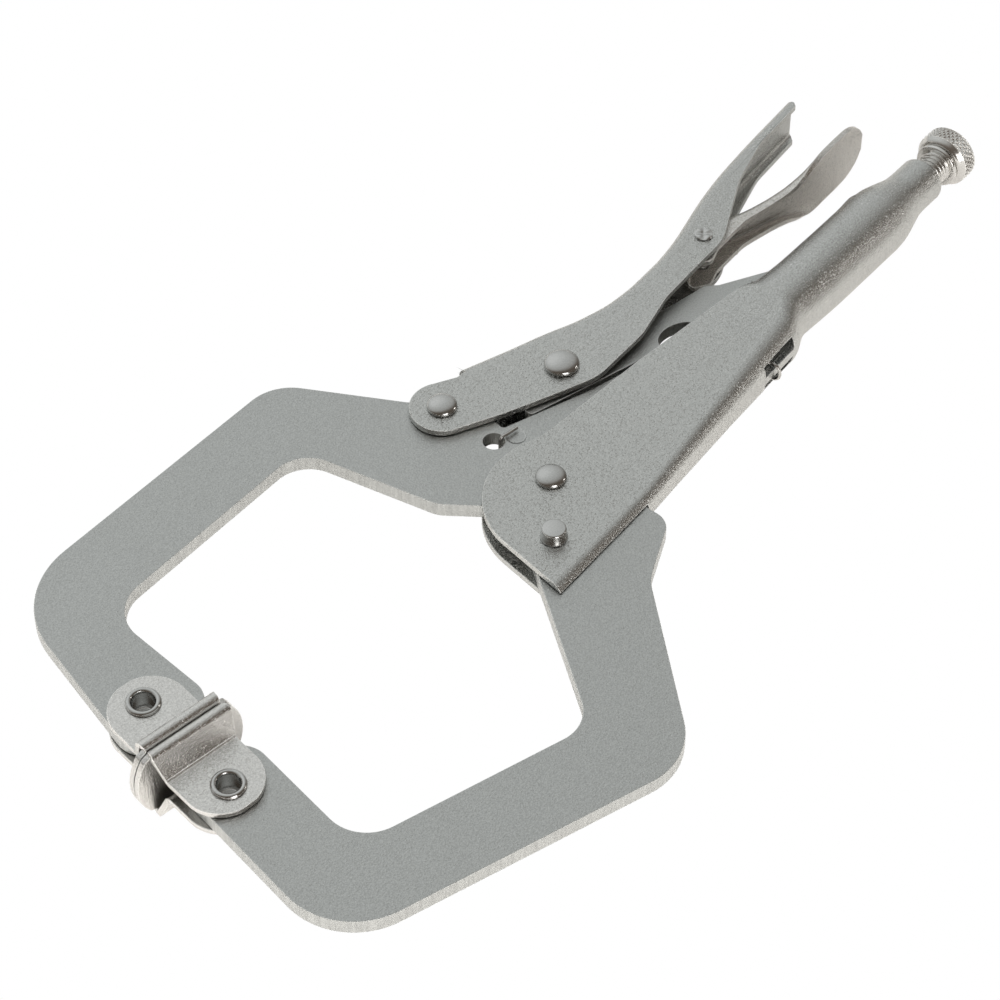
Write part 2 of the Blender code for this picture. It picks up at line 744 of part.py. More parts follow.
def return_spring(mat):
    """Extension spring from the jaw's tail to the bar between the two slots."""
    hx, hy = TAIL_HOLE
    bx, by = 62.0, -17.0
    length = math.hypot(bx - hx, by - hy)
    ux, uy = (bx - hx) / length, (by - hy) / length
    coil_r = 1.9

    def at(d, side, z):
        return (hx + ux * d - uy * side, hy + uy * d + ux * side, z)

    points = [at(0, 0, -2.9), at(0, 0, -1.5), at(0, 0, 0.5), at(0, 0, 2.2)]
    points += [at(0.25, 0, 2.8), at(0.9, 0, 3.05), at(3.4, 0, 3.0), at(4.6, 0, 2.5)]
    turns = 9
    start, end = 5.6, 20.0
    steps = turns * 12
    for k in range(steps + 1):
        a = 2 * math.pi * k / 12
        d = start + (end - start) * k / steps
        points.append(at(d, coil_r * math.sin(a), coil_r * math.cos(a)))
    points += [at(20.9, 0.6, 2.1), at(23.0, 0.2, 2.3)]
    points += [
        (61.6, by + 1.2, 2.35),
        (61.9, by - 0.4, 2.2),
        (62.0, by - 1.4, 1.5),
        (62.0, by - 1.75, 0.6),
        (62.0, by - 1.75, -0.6),
        (62.0, by - 1.4, -1.5),
        (61.9, by - 0.4, -2.2),
        (61.6, by + 1.4, -2.3),
    ]
    bm = wire(points, 0.45)
    return place("return_spring", bm, (bx, by, 0.0), mat, 60.0)


def hook_wire(mat):
    """Short bent wire end that stands in the hole above the jaw pivot."""
    hx, hy = SPRING_HOLE
    over = PLATE_HALF + GAP + HOOK_WIRE_R + 0.08
    points = [
        (hx + 1.0, hy - 1.0, -1.4),
        (hx + 1.0, hy - 1.0, 0.2),
        (hx + 1.0, hy - 1.0, 1.7),
        (hx + 1.2, hy - 1.04, over - 0.35),
        (hx + 1.7, hy - 1.13, over),
        (hx + 3.5, hy - 1.5, over),
        (hx + 6.2, hy - 1.9, over),
    ]
    bm = wire(points, HOOK_WIRE_R)
    return place("hook_wire", bm, flat(SPRING_HOLE), mat, 60.0)


# ----------------------------------------------------------------- assembly
def build():
    clear_scene()
    mats = make_materials()
    body_shell(mats["sheet"])
    fixed_jaw(mats["plate"])
    moving_jaw(mats["plate"])
    lever_handle(mats["sheet"])
    toggle_link(mats["plate"])
    release_lever(mats["sheet"])
    domed_rivet("jaw_pivot_rivet", JAW_PIVOT, 3.6, WALL_OUT + 0.25, 1.8, mats["bright"])
    flat_rivet("fixed_jaw_rivet", FIXED_RIVET, mats["bright"])
    domed_rivet("lever_jaw_rivet", LEVER_JAW, 3.55, WALL_OUT + 0.25, 1.8, mats["bright"])
    domed_rivet("lever_link_rivet", LEVER_LINK, 4.15, 4.75, 2.0, mats["bright"])
    release_pin("release_pin_upper", 1, mats["bright"])
    release_pin("release_pin_lower", -1, mats["bright"])
    pad("upper_pad", UPPER_EYELET, -1, mats["sheet"])
    pad("lower_pad", LOWER_EYELET, 1, mats["sheet"])
    eyelet_rivet("upper_pad_eyelet", UPPER_EYELET, mats["bright"])
    eyelet_rivet("lower_pad_eyelet", LOWER_EYELET, mats["bright"])
    thrust_tip(mats["screw"])
    adjusting_screw(mats["screw"])
    knob(mats["screw"])
    return_spring(mats["spring"])
    hook_wire(mats["spring"])


build()
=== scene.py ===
"""Looks of a locking C-clamp with swivel pads, nickel plated steel.

Shapes are drawn in millimetres. The drawing's zero is the jaw pivot, in the middle
of the plates' thickness: X runs along the screw toward the knob, Y toward the
lever, and Z is square to the plates.
"""
import json
import math

import bmesh
import bpy
from mathutils import Matrix, Vector


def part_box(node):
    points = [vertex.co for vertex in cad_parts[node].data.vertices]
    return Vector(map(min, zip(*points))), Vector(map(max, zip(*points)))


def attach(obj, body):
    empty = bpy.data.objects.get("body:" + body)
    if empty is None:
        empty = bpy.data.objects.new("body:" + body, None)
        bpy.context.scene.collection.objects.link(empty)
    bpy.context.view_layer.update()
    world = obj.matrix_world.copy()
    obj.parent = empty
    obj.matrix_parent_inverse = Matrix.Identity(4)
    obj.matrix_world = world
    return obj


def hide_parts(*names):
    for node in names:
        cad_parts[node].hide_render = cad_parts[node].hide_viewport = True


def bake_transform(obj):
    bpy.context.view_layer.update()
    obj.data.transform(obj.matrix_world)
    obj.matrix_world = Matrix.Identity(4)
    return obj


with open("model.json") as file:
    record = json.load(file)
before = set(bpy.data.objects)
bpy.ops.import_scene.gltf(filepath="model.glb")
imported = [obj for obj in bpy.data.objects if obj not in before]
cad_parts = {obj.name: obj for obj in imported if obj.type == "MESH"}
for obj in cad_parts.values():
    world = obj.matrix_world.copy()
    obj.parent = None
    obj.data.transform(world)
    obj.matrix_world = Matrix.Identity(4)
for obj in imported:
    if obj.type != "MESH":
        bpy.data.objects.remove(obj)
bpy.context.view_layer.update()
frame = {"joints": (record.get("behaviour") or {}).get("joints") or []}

MM = 0.001


def joint_at(name):
    return next(Vector(joint["pos_m"]) for joint in frame["joints"] if joint["name"] == name)


ZERO = joint_at("jaw_open")


def drawing(point):
    """A point of the frame in the drawing's millimetres, as (x, y)."""
    p = (point - ZERO) / MM
    return (p.x, p.y)


def node_ends(node):
    """Lowest and highest corner of a CAD node in the drawing's millimetres."""
    low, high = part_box(node)
    return (low - ZERO) / MM, (high - ZERO) / MM


def node_centre(node):
    low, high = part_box(node)
    return drawing((low + high) / 2)


JAW_PIVOT = (0.0, 0.0)
LEVER_JAW = drawing(joint_at("lever_swing"))
LEVER_LINK = drawing(joint_at("link_swing"))
RELEASE_PIN = drawing(joint_at("release_press"))
UPPER_EYELET = drawing(joint_at("pad_upper_swivel"))
LOWER_EYELET = drawing(joint_at("pad_lower_swivel"))
FIXED_RIVET = node_centre("fixed_jaw_rivet")
SCREW_Y = drawing(joint_at("screw_turn"))[1]

PLATE_HALF = node_ends("moving_jaw")[1].z
LINK_HALF = node_ends("toggle_link")[1].z
PLATE_EDGE = 0.3
SHEET = 1.6
SHEET_PAD = 1.4
SHEET_RELEASE = 1.4
WALL_IN = 2.3
WALL_OUT = 3.9
HOLE_R = 2.7
SHANK_R = 2.4
PIN_HOLE_R = 1.9
HUB_R = 10.0
BOSS_R = 7.0
LEVER_BOSS_R = 7.7
SPRING_HOLE = (2.0, 18.2)
SPRING_HOLE_R = 2.5
TAIL_HOLE = (42.6, 3.9)
TAIL_HOLE_R = 1.2
DIMPLE = (6.4, 15.2)
DIMPLE_R = 2.3
EYELET_R = 3.0
EYELET_GAP = 0.3
RIVET_SEAT = WALL_OUT + 0.25
THREAD_R = 4.0
THREAD_PITCH = 1.25
THREAD_DEPTH = 0.8
KNURL_ROWS = 5
KNURL_AROUND = 34
KNURL_DEPTH = 0.42

# Half lengths of cutting solids, long enough to pass right through.
PLATE_CUT = 6.0
PAD_CUT = 8.0
CHANNEL_CUT = 12.0
TRIM_CUT = 30.0

# Rounded edges of bent sheet, and how finely outlines and holes are divided.
SHEET_EDGE = 0.22
THIN_EDGE = 0.2
EDGE_ANGLE = 38.0
EDGE_STEPS = 2
OUTLINE_STEP = 4.0
HOLE_STEP = 6.0


# ------------------------------------------------------------------ helpers
def arc(cx, cy, r, start, end, step=OUTLINE_STEP):
    """Corners along an arc, angles in degrees, as (x, y, 0) for outline()."""
    count = max(2, int(math.ceil(abs(end - start) / step)) + 1)
    out = []
    for i in range(count):
        a = math.radians(start + (end - start) * i / (count - 1))
        out.append((cx + r * math.cos(a), cy + r * math.sin(a), 0.0))
    return out


def outline(corners):
    """Polygon from corners (x, y, radius); every corner with a radius is rounded."""
    pts = []
    n = len(corners)
    for i in range(n):
        x, y, r = corners[i]
        if r <= 0.0:
            pts.append((x, y))
            continue
        ax, ay = corners[i - 1][0] - x, corners[i - 1][1] - y
        bx, by = corners[(i + 1) % n][0] - x, corners[(i + 1) % n][1] - y
        la, lb = math.hypot(ax, ay), math.hypot(bx, by)
        ax, ay, bx, by = ax / la, ay / la, bx / lb, by / lb
        half = 0.5 * math.acos(max(-1.0, min(1.0, ax * bx + ay * by)))
        reach = min(r / math.tan(half), 0.98 * la, 0.98 * lb)
        rr = reach * math.tan(half)
        mx, my = ax + bx, ay + by
        lm = math.hypot(mx, my)
        dist = rr / math.sin(half)
        cx, cy = x + mx / lm * dist, y + my / lm * dist
        s = math.atan2(y + ay * reach - cy, x + ax * reach - cx)
        e = math.atan2(y + by * reach - cy, x + bx * reach - cx)
        turn = (e - s + math.pi) % (2 * math.pi) - math.pi
        steps = max(2, int(math.ceil(abs(math.degrees(turn)) / OUTLINE_STEP)))
        for k in range(steps + 1):
            a = s + turn * k / steps
            pts.append((cx + rr * math.cos(a), cy + rr * math.sin(a)))
    return pts


def prism(points, z0, z1):
    bm = bmesh.new()
    low = [bm.verts.new((x, y, z0)) for x, y in points]
    top = [bm.verts.new((x, y, z1)) for x, y in points]
    n = len(points)
    for i in range(n):
        j = (i + 1) % n
        bm.faces.new((low[i], low[j], top[j], top[i]))
    bm.faces.new(low[::-1])
    bm.faces.new(top)
    return bm


def rod(at, radius, half_length):
    """Round solid square to the plates."""
    corners = arc(at[0], at[1], radius, 0.0, 360.0 - HOLE_STEP, HOLE_STEP)
    points = [(x, y) for x, y, _ in corners]
    return prism(points, -half_length, half_length)


def block(x0, x1, y0, y1, z0, z1):
    return prism([(x0, y0), (x1, y0), (x1, y1), (x0, y1)], z0, z1)


def grid(rows, caps=True):
    """Skin over closed rows of points that all have the same count."""
    bm = bmesh.new()
    verts = [[bm.verts.new(p) for p in row] for row in rows]
    n = len(verts[0])
    for a, b in zip(verts, verts[1:]):
        for i in range(n):
            j = (i + 1) % n
            bm.faces.new((a[i], a[j], b[j], b[i]))
    if caps:
        bm.faces.new(verts[0][::-1])
        bm.faces.new(verts[-1])
    return bm


def sheet_loft(rings):
    """Skin over the sections of a bent sheet, with ends made of strips."""
    bm = grid(rings, caps=False)
    bm.verts.ensure_lookup_table()
    n = len(rings[0])
    last = len(bm.verts) - n
    half = n // 2
    for first in (0, last):
        row = [bm.verts[first + i] for i in range(n)]
        for i in range(half - 1):
            bm.faces.new((row[i], row[i + 1], row[n - 2 - i], row[n - 1 - i]))
    return bm


def turned(profile, at, segments=64):
    """Solid of revolution about a line parallel to Z; profile is (radius, z)."""
    bm = bmesh.new()
    rows = []
    for r, z in profile:
        if r < 1e-6:
            rows.append([bm.verts.new((at[0], at[1], z))])
            continue
        row = []
        for k in range(segments):
            a = 2 * math.pi * k / segments
            row.append(bm.verts.new((at[0] + r * math.cos(a), at[1] + r * math.sin(a), z)))
        rows.append(row)
    for a, b in zip(rows, rows[1:]):
        for k in range(segments):
            m = (k + 1) % segments
            if len(a) == 1:
                bm.faces.new((a[0], b[k], b[m]))
            elif len(b) == 1:
                bm.faces.new((a[k], a[m], b[0]))
            else:
                bm.faces.new((a[k], a[m], b[m], b[k]))
    return bm


def lay_along_x(bm):
    """Move a solid turned about Z so that its axis is the screw's."""
    for v in bm.verts:
        x0, y0, z0 = v.co
        v.co = (z0, SCREW_Y + y0, -x0)
    return bm


def walk(pieces):
    """Follow straight and bent stretches (length, turn in degrees, steps)."""
    v, z, a = 0.0, 0.0, 0.0
    out = [(v, z, a)]
    for length, turn, steps in pieces:
        da = math.radians(turn) / steps
        dl = length / steps
        if abs(da) > 1e-6:
            dl = dl * math.sin(da / 2) / (da / 2)
        for _ in range(steps):
            v += dl * math.sin(a + da / 2)
            z += dl * math.cos(a + da / 2)
            a += da
            out.append((v, z, a))
    return out


def channel_ring(x, base, side, sheet, pieces):
    """Section of bent sheet at x. The web's outer face is at y = base and the
    walls run toward side (+1 for +Y, -1 for -Y)."""
    outer, inner = [], []
    for v, z, a in walk(pieces):
        nv, nz = -math.cos(a) * sheet / 2, math.sin(a) * sheet / 2
        outer.append((v + sheet / 2 + nv, z + nz))
        inner.append((v + sheet / 2 - nv, z - nz))
    loop = [(v, -z) for v, z in outer[:0:-1]] + outer
    loop += inner[::-1] + [(v, -z) for v, z in inner[1:]]
    return [(x, base + side * v, z) for v, z in loop]


def fair(rows, spacing):
    """Stations between the given ones, on monotone cubic curves over x."""
    n = len(rows)
    width = len(rows[0])
    gaps = [rows[i + 1][0] - rows[i][0] for i in range(n - 1)]
    slope = [[(rows[i + 1][c] - rows[i][c]) / gaps[i] for c in range(width)] for i in range(n - 1)]
    tangent = [slope[0]]
    for i in range(1, n - 1):
        row = []
        for c in range(width):
            a, b = slope[i - 1][c], slope[i][c]
            row.append(0.0 if a * b <= 0.0 else 2 * a * b / (a + b))
        tangent.append(row)
    tangent.append(slope[-1])
    out = []
    for i in range(n - 1):
        steps = max(1, int(round(gaps[i] / spacing)))
        for k in range(steps):
            t = k / steps
            h0 = (1 + 2 * t) * (1 - t) ** 2
            h1 = t * (1 - t) ** 2
            h2 = t * t * (3 - 2 * t)
            h3 = t * t * (t - 1)
            out.append([
                h0 * rows[i][c] + h1 * gaps[i] * tangent[i][c]
                + h2 * rows[i + 1][c] + h3 * gaps[i] * tangent[i + 1][c]
                for c in range(width)
            ])
    out.append(list(rows[-1]))
    return out


def wire(points, radius, sides=12):
    """Round wire along a line of points, closed at both ends."""
    rows = []
    normal = Vector((1.0, 0.0, 0.0))
    count = len(points)
    for i in range(count):
        along = (Vector(points[min(i + 1, count - 1)]) - Vector(points[max(i - 1, 0)])).normalized()
        normal = (normal - normal.dot(along) * along).normalized()
        across = along.cross(normal)
        row = []
        for s in range(sides):
            a = 2 * math.pi * s / sides
            offset = radius * math.cos(a) * normal + radius * math.sin(a) * across
            row.append(Vector(points[i]) + offset)
        rows.append(row)
    return grid(rows)


def fair_line(points, steps):
    """More points on a smooth curve through the given ones."""
    out = []
    count = len(points)
    for i in range(count - 1):
        p0 = Vector(points[max(i - 1, 0)])
        p1 = Vector(points[i])
        p2 = Vector(points[i + 1])
        p3 = Vector(points[min(i + 2, count - 1)])
        for k in range(steps):
            t = k / steps
            a = 2 * p1 + (p2 - p0) * t
            b = (2 * p0 - 5 * p1 + 4 * p2 - p3) * t * t
            c = (3 * p1 - p0 - 3 * p2 + p3) * t ** 3
            out.append((a + b + c) / 2)
    out.append(Vector(points[-1]))
    return out


# ------------------------------------------------------------------ objects
def solid(name, bm):
    """Object from a closed mesh drawn in millimetres."""
    bmesh.ops.recalc_face_normals(bm, faces=bm.faces[:])
    for v in bm.verts:
        v.co = v.co * MM + ZERO
    mesh = bpy.data.meshes.new(name)
    bm.to_mesh(mesh)
    bm.free()
    obj = bpy.data.objects.new(name, mesh)
    bpy.context.scene.collection.objects.link(obj)
    return obj


def bake(obj):
    """Turn the object's modifiers into its own mesh."""
    bpy.context.view_layer.update()
    graph = bpy.context.evaluated_depsgraph_get()
    mesh = bpy.data.meshes.new_from_object(obj.evaluated_get(graph))
    obj.modifiers.clear()
    obj.data = mesh


def cut(obj, bm, operation="DIFFERENCE"):
    tool = solid("tool", bm)
    mod = obj.modifiers.new("cut", "BOOLEAN")
    mod.operation = operation
    mod.solver = "EXACT"
    mod.object = tool
    bake(obj)
    bpy.data.objects.remove(tool, do_unlink=True)


def clean(obj):
    """Merge points and slivers that the cuts have left."""
    bm = bmesh.new()
    bm.from_mesh(obj.data)
    bmesh.ops.remove_doubles(bm, verts=bm.verts[:], dist=0.02 * MM)
    bmesh.ops.dissolve_degenerate(bm, edges=bm.edges[:], dist=0.01 * MM)
    bmesh.ops.dissolve_limit(
        bm, angle_limit=math.radians(0.4), verts=bm.verts[:], edges=bm.edges[:]
    )
    bm.to_mesh(obj.data)
    bm.free()


def round_edges(obj, width):
    clean(obj)
    mod = obj.modifiers.new("edges", "BEVEL")
    mod.width = width * MM
    mod.segments = EDGE_STEPS
    mod.limit_method = "ANGLE"
    mod.angle_limit = math.radians(EDGE_ANGLE)
    mod.use_clamp_overlap = False
    mod.miter_outer = "MITER_ARC"
    bake(obj)


def smooth(obj, angle=40.0, weighted=True):
    obj.data.shade_smooth()
    obj.data.set_sharp_from_angle(angle=math.radians(angle))
    if weighted:
        mod = obj.modifiers.new("normals", "WEIGHTED_NORMAL")
        mod.keep_sharp = True
        mod.weight = 80
        bake(obj)


def keep(obj, material, body, nodes):
    """Give a piece its material and its moving body, and hide the CAD nodes it stands for."""
    obj.data.materials.clear()
    obj.data.materials.append(material)
    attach(obj, body)
    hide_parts(*nodes)


# ---------------------------------------------------------------- materials
class Tree:
    """Short way to write node trees."""

    def __init__(self, name):
        self.material = bpy.data.materials.new(name)
        self.material.use_nodes = True
        self.nodes = self.material.node_tree.nodes
        self.links = self.material.node_tree.links
        self.shader = self.nodes["Principled BSDF"]

    def add(self, kind, **inputs):
        node = self.nodes.new("ShaderNode" + kind)
        for key, value in inputs.items():
            self.set(node.inputs[key.replace("_", " ")], value)
        return node

    def set(self, socket, value):
        if isinstance(value, bpy.types.NodeSocket):
            self.links.new(value, socket)
        else:
            socket.default_value = value

    def noise(self, vector, scale, detail, roughness):
        node = self.add("TexNoise", Vector=vector, Scale=scale, Detail=detail, Roughness=roughness)
        return node.outputs["Fac"]

    def stretch(self, value, low, high, to_low=0.0, to_high=1.0):
        node = self.add("MapRange", Value=value)
        node.inputs["From Min"].default_value = low
        node.inputs["From Max"].default_value = high
        node.inputs["To Min"].default_value = to_low
        node.inputs["To Max"].default_value = to_high
        return node.outputs["Result"]

    def math(self, operation, a, b):
        node = self.nodes.new("ShaderNodeMath")
        node.operation = operation
        self.set(node.inputs[0], a)
        self.set(node.inputs[1], b)
        return node.outputs[0]

    def mix(self, share, a, b):
        node = self.nodes.new("ShaderNodeMix")
        node.data_type = "RGBA"
        self.set(node.inputs["Factor"], share)
        self.set(node.inputs["A"], a if isinstance(a, bpy.types.NodeSocket) else (*a, 1.0))
        self.set(node.inputs["B"], b if isinstance(b, bpy.types.NodeSocket) else (*b, 1.0))
        return node.outputs["Result"]

    def position(self, scale=(1.0, 1.0, 1.0)):
        """Place on the object in millimetres, stretched by scale."""
        where = self.add("TexCoord").outputs["Object"]
        node = self.add("Mapping", Vector=where)
        node.inputs["Scale"].default_value = [s / MM for s in scale]
        return node.outputs["Vector"]

    def edges(self, radius):
        """0 on open faces, 1 where the surface turns sharply."""
        rounded = self.add("Bevel", Radius=radius * MM)
        rounded.samples = 4
        plain = self.add("NewGeometry").outputs["Normal"]
        dot = self.nodes.new("ShaderNodeVectorMath")
        dot.operation = "DOT_PRODUCT"
        self.links.new(rounded.outputs["Normal"], dot.inputs[0])
        self.links.new(plain, dot.inputs[1])
        return self.stretch(dot.outputs["Value"], 0.985, 0.86)


def shade(colour, factor):
    """The colour made lighter or darker."""
    return [min(1.0, c * factor) for c in colour]


def nickel(name, colour, rough, grain, speckle, cut_streaks, wear_and_highlight, depth):
    """Nickel plated steel: cloudy tone, fine grain, light specks, and edges made lighter
    and less metallic, partly as wear and partly as a painted highlight.

    grain and speckle say how strong those are, cut_streaks how much the sheared
    sides show streaks, the edge share how much the edges are lightened and made less
    metallic (partly wear, partly a painted highlight), and depth is the bump in mm.
    """
    tree = Tree(name)
    place = tree.position()
    cloud = tree.noise(place, 0.06, 3.0, 0.55)
    fine = tree.noise(place, 2.6, 3.0, 0.65)
    speck = tree.stretch(tree.noise(place, 1.8, 2.0, 0.6), 0.58, 0.70)
    edge = tree.edges(0.35)
    tone = tree.mix(tree.stretch(cloud, 0.3, 0.7), shade(colour, 0.96), shade(colour, 1.04))
    grit = tree.mix(tree.stretch(fine, 0.32, 0.68), shade(colour, 0.74), shade(colour, 1.24))
    tone = tree.mix(grain, tone, grit)
    bright = shade(colour, 1.22)
    tone = tree.mix(tree.math("MULTIPLY", speck, speckle), tone, bright)
    height = tree.math("ADD", fine, tree.math("MULTIPLY", speck, speckle))
    if cut_streaks > 0.0:
        normal = tree.add("SeparateXYZ", Vector=tree.add("NewGeometry").outputs["Normal"])
        side = tree.math("ABSOLUTE", normal.outputs["Z"], 0.0)
        side = tree.stretch(side, 0.55, 0.2)
        streak = tree.noise(tree.position((1.3, 1.3, 0.12)), 1.0, 3.0, 0.7)
        lines = tree.mix(tree.stretch(streak, 0.35, 0.65), shade(colour, 0.84), bright)
        tone = tree.mix(tree.math("MULTIPLY", side, cut_streaks), tone, lines)
        ridges = tree.math("MULTIPLY", tree.math("MULTIPLY", streak, side), 1.5)
        height = tree.math("ADD", height, ridges)
    # Edges lightened and made less metallic: partly wear, partly a painted highlight along the cut
    # edges.
    tone = tree.mix(tree.math("MULTIPLY", edge, wear_and_highlight), tone, shade(colour, 1.3))
    tree.set(tree.shader.inputs["Base Color"], tone)
    scuff_and_highlight = tree.math("MULTIPLY", edge, wear_and_highlight * 0.7)
    tree.set(tree.shader.inputs["Metallic"], tree.math("SUBTRACT", 1.0, scuff_and_highlight))
    base = tree.stretch(tree.math("ADD", cloud, fine), 0.7, 1.3, rough * 0.86, rough * 1.14)
    gloss = tree.math("SUBTRACT", base, tree.math("MULTIPLY", edge, rough * 0.35))
    tree.set(tree.shader.inputs["Roughness"], gloss)
    bump = tree.add("Bump", Height=height, Distance=depth * MM)
    bump.inputs["Strength"].default_value = 0.7
    tree.set(tree.shader.inputs["Normal"], bump.outputs["Normal"])
    return tree.material


def plate_metal():
    return nickel("plate_metal", colour=(0.57, 0.58, 0.57), rough=0.34, grain=0.7,
                  speckle=0.35, cut_streaks=0.6, wear_and_highlight=0.6, depth=0.13)


def sheet_metal():
    return nickel("sheet_metal", colour=(0.62, 0.625, 0.61), rough=0.25, grain=0.7,
                  speckle=0.7, cut_streaks=0.25, wear_and_highlight=0.8, depth=0.15)


# Lit copy of the sheet metal: the same nickel painted lighter, as painted light standing in for the
# bright reflection on the release lever's spoon.
def release_metal_painted_light():
    return nickel("release_metal_painted_light", colour=(0.77, 0.75, 0.72), rough=0.25, grain=0.7,
                  speckle=0.7, cut_streaks=0.25, wear_and_highlight=0.8, depth=0.15)


# Lighter than the jaw plates: partly the pads' own lighter tone, partly painted light standing in for
# the bright reflection on the pads' raised faces.
def pad_metal_partly_painted_light():
    return nickel("pad_metal_partly_painted_light", colour=(0.78, 0.77, 0.75), rough=0.20, grain=0.6,
                  speckle=0.5, cut_streaks=0.3, wear_and_highlight=0.8, depth=0.12)


def rivet_metal():
    return nickel("rivet_metal", colour=(0.62, 0.62, 0.61), rough=0.16, grain=0.25,
                  speckle=0.1, cut_streaks=0.0, wear_and_highlight=0.3, depth=0.02)


def screw_metal():
    return nickel("screw_metal", colour=(0.78, 0.77, 0.75), rough=0.20, grain=0.3,
                  speckle=0.2, cut_streaks=0.0, wear_and_highlight=0.5, depth=0.01)


def spring_metal():
    return nickel("spring_metal", colour=(0.62, 0.61, 0.59), rough=0.26, grain=0.3,
                  speckle=0.2, cut_streaks=0.0, wear_and_highlight=0.2, depth=0.02)


def make_materials():
    return {
        "plate": plate_metal(),
        "sheet": sheet_metal(),
        "release": release_metal_painted_light(),
        "pad": pad_metal_partly_painted_light(),
        "bright": rivet_metal(),
        "screw": screw_metal(),
        "spring": spring_metal(),
    }


# ------------------------------------------------------------------- plates
def dimple(at, radius, top):
    """Shallow dish with a soft rim, for cutting into a face at height top."""
    profile = [(0.0, top - 0.1), (radius - 0.5, top - 0.12), (radius - 0.25, top - 0.2)]
    profile += [(radius, top + 0.05), (radius, top + 0.5), (0.0, top + 0.5)]
    return turned(profile, at, 48)


def plate(name, corners, holes, dimples=()):
    """Jaw plate with round holes and shallow dimples, each (place, radius)."""
    obj = solid(name, prism(outline(corners), -PLATE_HALF, PLATE_HALF))
    for at, radius in holes:
        cut(obj, rod(at, radius, PLATE_CUT))
    for at, radius in dimples:
        cut(obj, dimple(at, radius, PLATE_HALF))
    round_edges(obj, PLATE_EDGE)
    smooth(obj)
    return obj


def moving_jaw(metals):
    corners = arc(0, 0, HUB_R, 175, 284.5)
    corners += [
        (46.2, 1.6, 1.5),
        (46.2, 6.6, 1.2),
        (28.5, 11.2, 20.0),
        (6.5, 19.2, 1.0),
        (7.3, 24.0, 4.0),
    ]
    corners += arc(LEVER_JAW[0], LEVER_JAW[1], BOSS_R, -10, 96)
    corners += [
        (-1.0, 41.2, 2.5),
        (-16.6, 69.5, 12.0),
        (-100.8, 71.3, 22.0),
        (-115.6, 18.9, 7.0),
        (-93.3, 15.4, 7.0),
        (-90.2, 51.2, 10.0),
        (-28.3, 50.6, 9.0),
        (-21.0, 15.8, 8.0),
    ]
    holes = [
        (JAW_PIVOT, HOLE_R),
        (LEVER_JAW, HOLE_R),
        (SPRING_HOLE, SPRING_HOLE_R),
        (TAIL_HOLE, TAIL_HOLE_R),
        (UPPER_EYELET, EYELET_R + EYELET_GAP),
    ]
    obj = plate("jaw_plate_moving", corners, holes, [(DIMPLE, DIMPLE_R)])
    keep(obj, metals["plate"], "jaw", ["moving_jaw"])


def fixed_jaw(metals):
    corners = [
        (-114.7, 8.7, 7.0),
        (-124.4, -44.0, 18.0),
        (-42.0, -72.0, 16.0),
        (-8.4, -34.7, 13.0),
        (8.2, -27.3, 5.0),
        (8.1, -18.0, 2.0),
        (3.6, -12.8, 1.5),
    ]
    corners += arc(0, 0, HUB_R + 0.45, 258, 206)
    corners += [
        (-16.6, -6.0, 2.0),
        (-48.5, -49.3, 9.0),
        (-102.9, -31.4, 10.0),
        (-96.3, 5.8, 7.0),
    ]
    holes = [(FIXED_RIVET, HOLE_R), (LOWER_EYELET, EYELET_R + EYELET_GAP)]
    obj = plate("jaw_plate_fixed", corners, holes)
    keep(obj, metals["plate"], "body", ["fixed_jaw"])


def oval(at, half_long, half_short, slant):
    """Points round an ellipse whose long axis is slant degrees from X."""
    turn = math.radians(slant)
    count = 72
    points = []
    for k in range(count):
        a = 2 * math.pi * k / count
        u, w = half_long * math.cos(a), half_short * math.sin(a)
        x = at[0] + u * math.cos(turn) - w * math.sin(turn)
        y = at[1] + u * math.sin(turn) + w * math.cos(turn)
        points.append((x, y))
    return points


def toggle_link(metals):
    corners = [
        (13.9, 16.8, 1.5),
        (47.9, 6.9, 1.5),
        (50.0, 2.6, 2.0),
        (53.6, -1.9, 5.0),
        (76.0, -8.2, 10.0),
        (90.0, -10.4, 4.0),
        (95.3, -10.4, 3.2),
        (95.3, -2.8, 3.2),
        (88.5, 1.5, 4.0),
        (75.2, 9.0, 2.0),
        (73.2, 11.4, 2.5),
        (58.5, 14.4, 8.0),
        (34.5, 27.9, 6.5),
        (23.5, 27.9, 6.5),
        (17.8, 20.9, 4.0),
        (13.9, 18.9, 1.2),
    ]
    obj = solid("link_plate", prism(outline(corners), -LINK_HALF, LINK_HALF))
    cut(obj, rod(LEVER_LINK, HOLE_R, PLATE_CUT))
    cut(obj, prism(oval((56.0, 5.2), 6.0, 4.3, -21.0), -PLATE_CUT, PLATE_CUT))
    round_edges(obj, PLATE_EDGE)
    smooth(obj)
    keep(obj, metals["plate"], "link", ["toggle_link"])


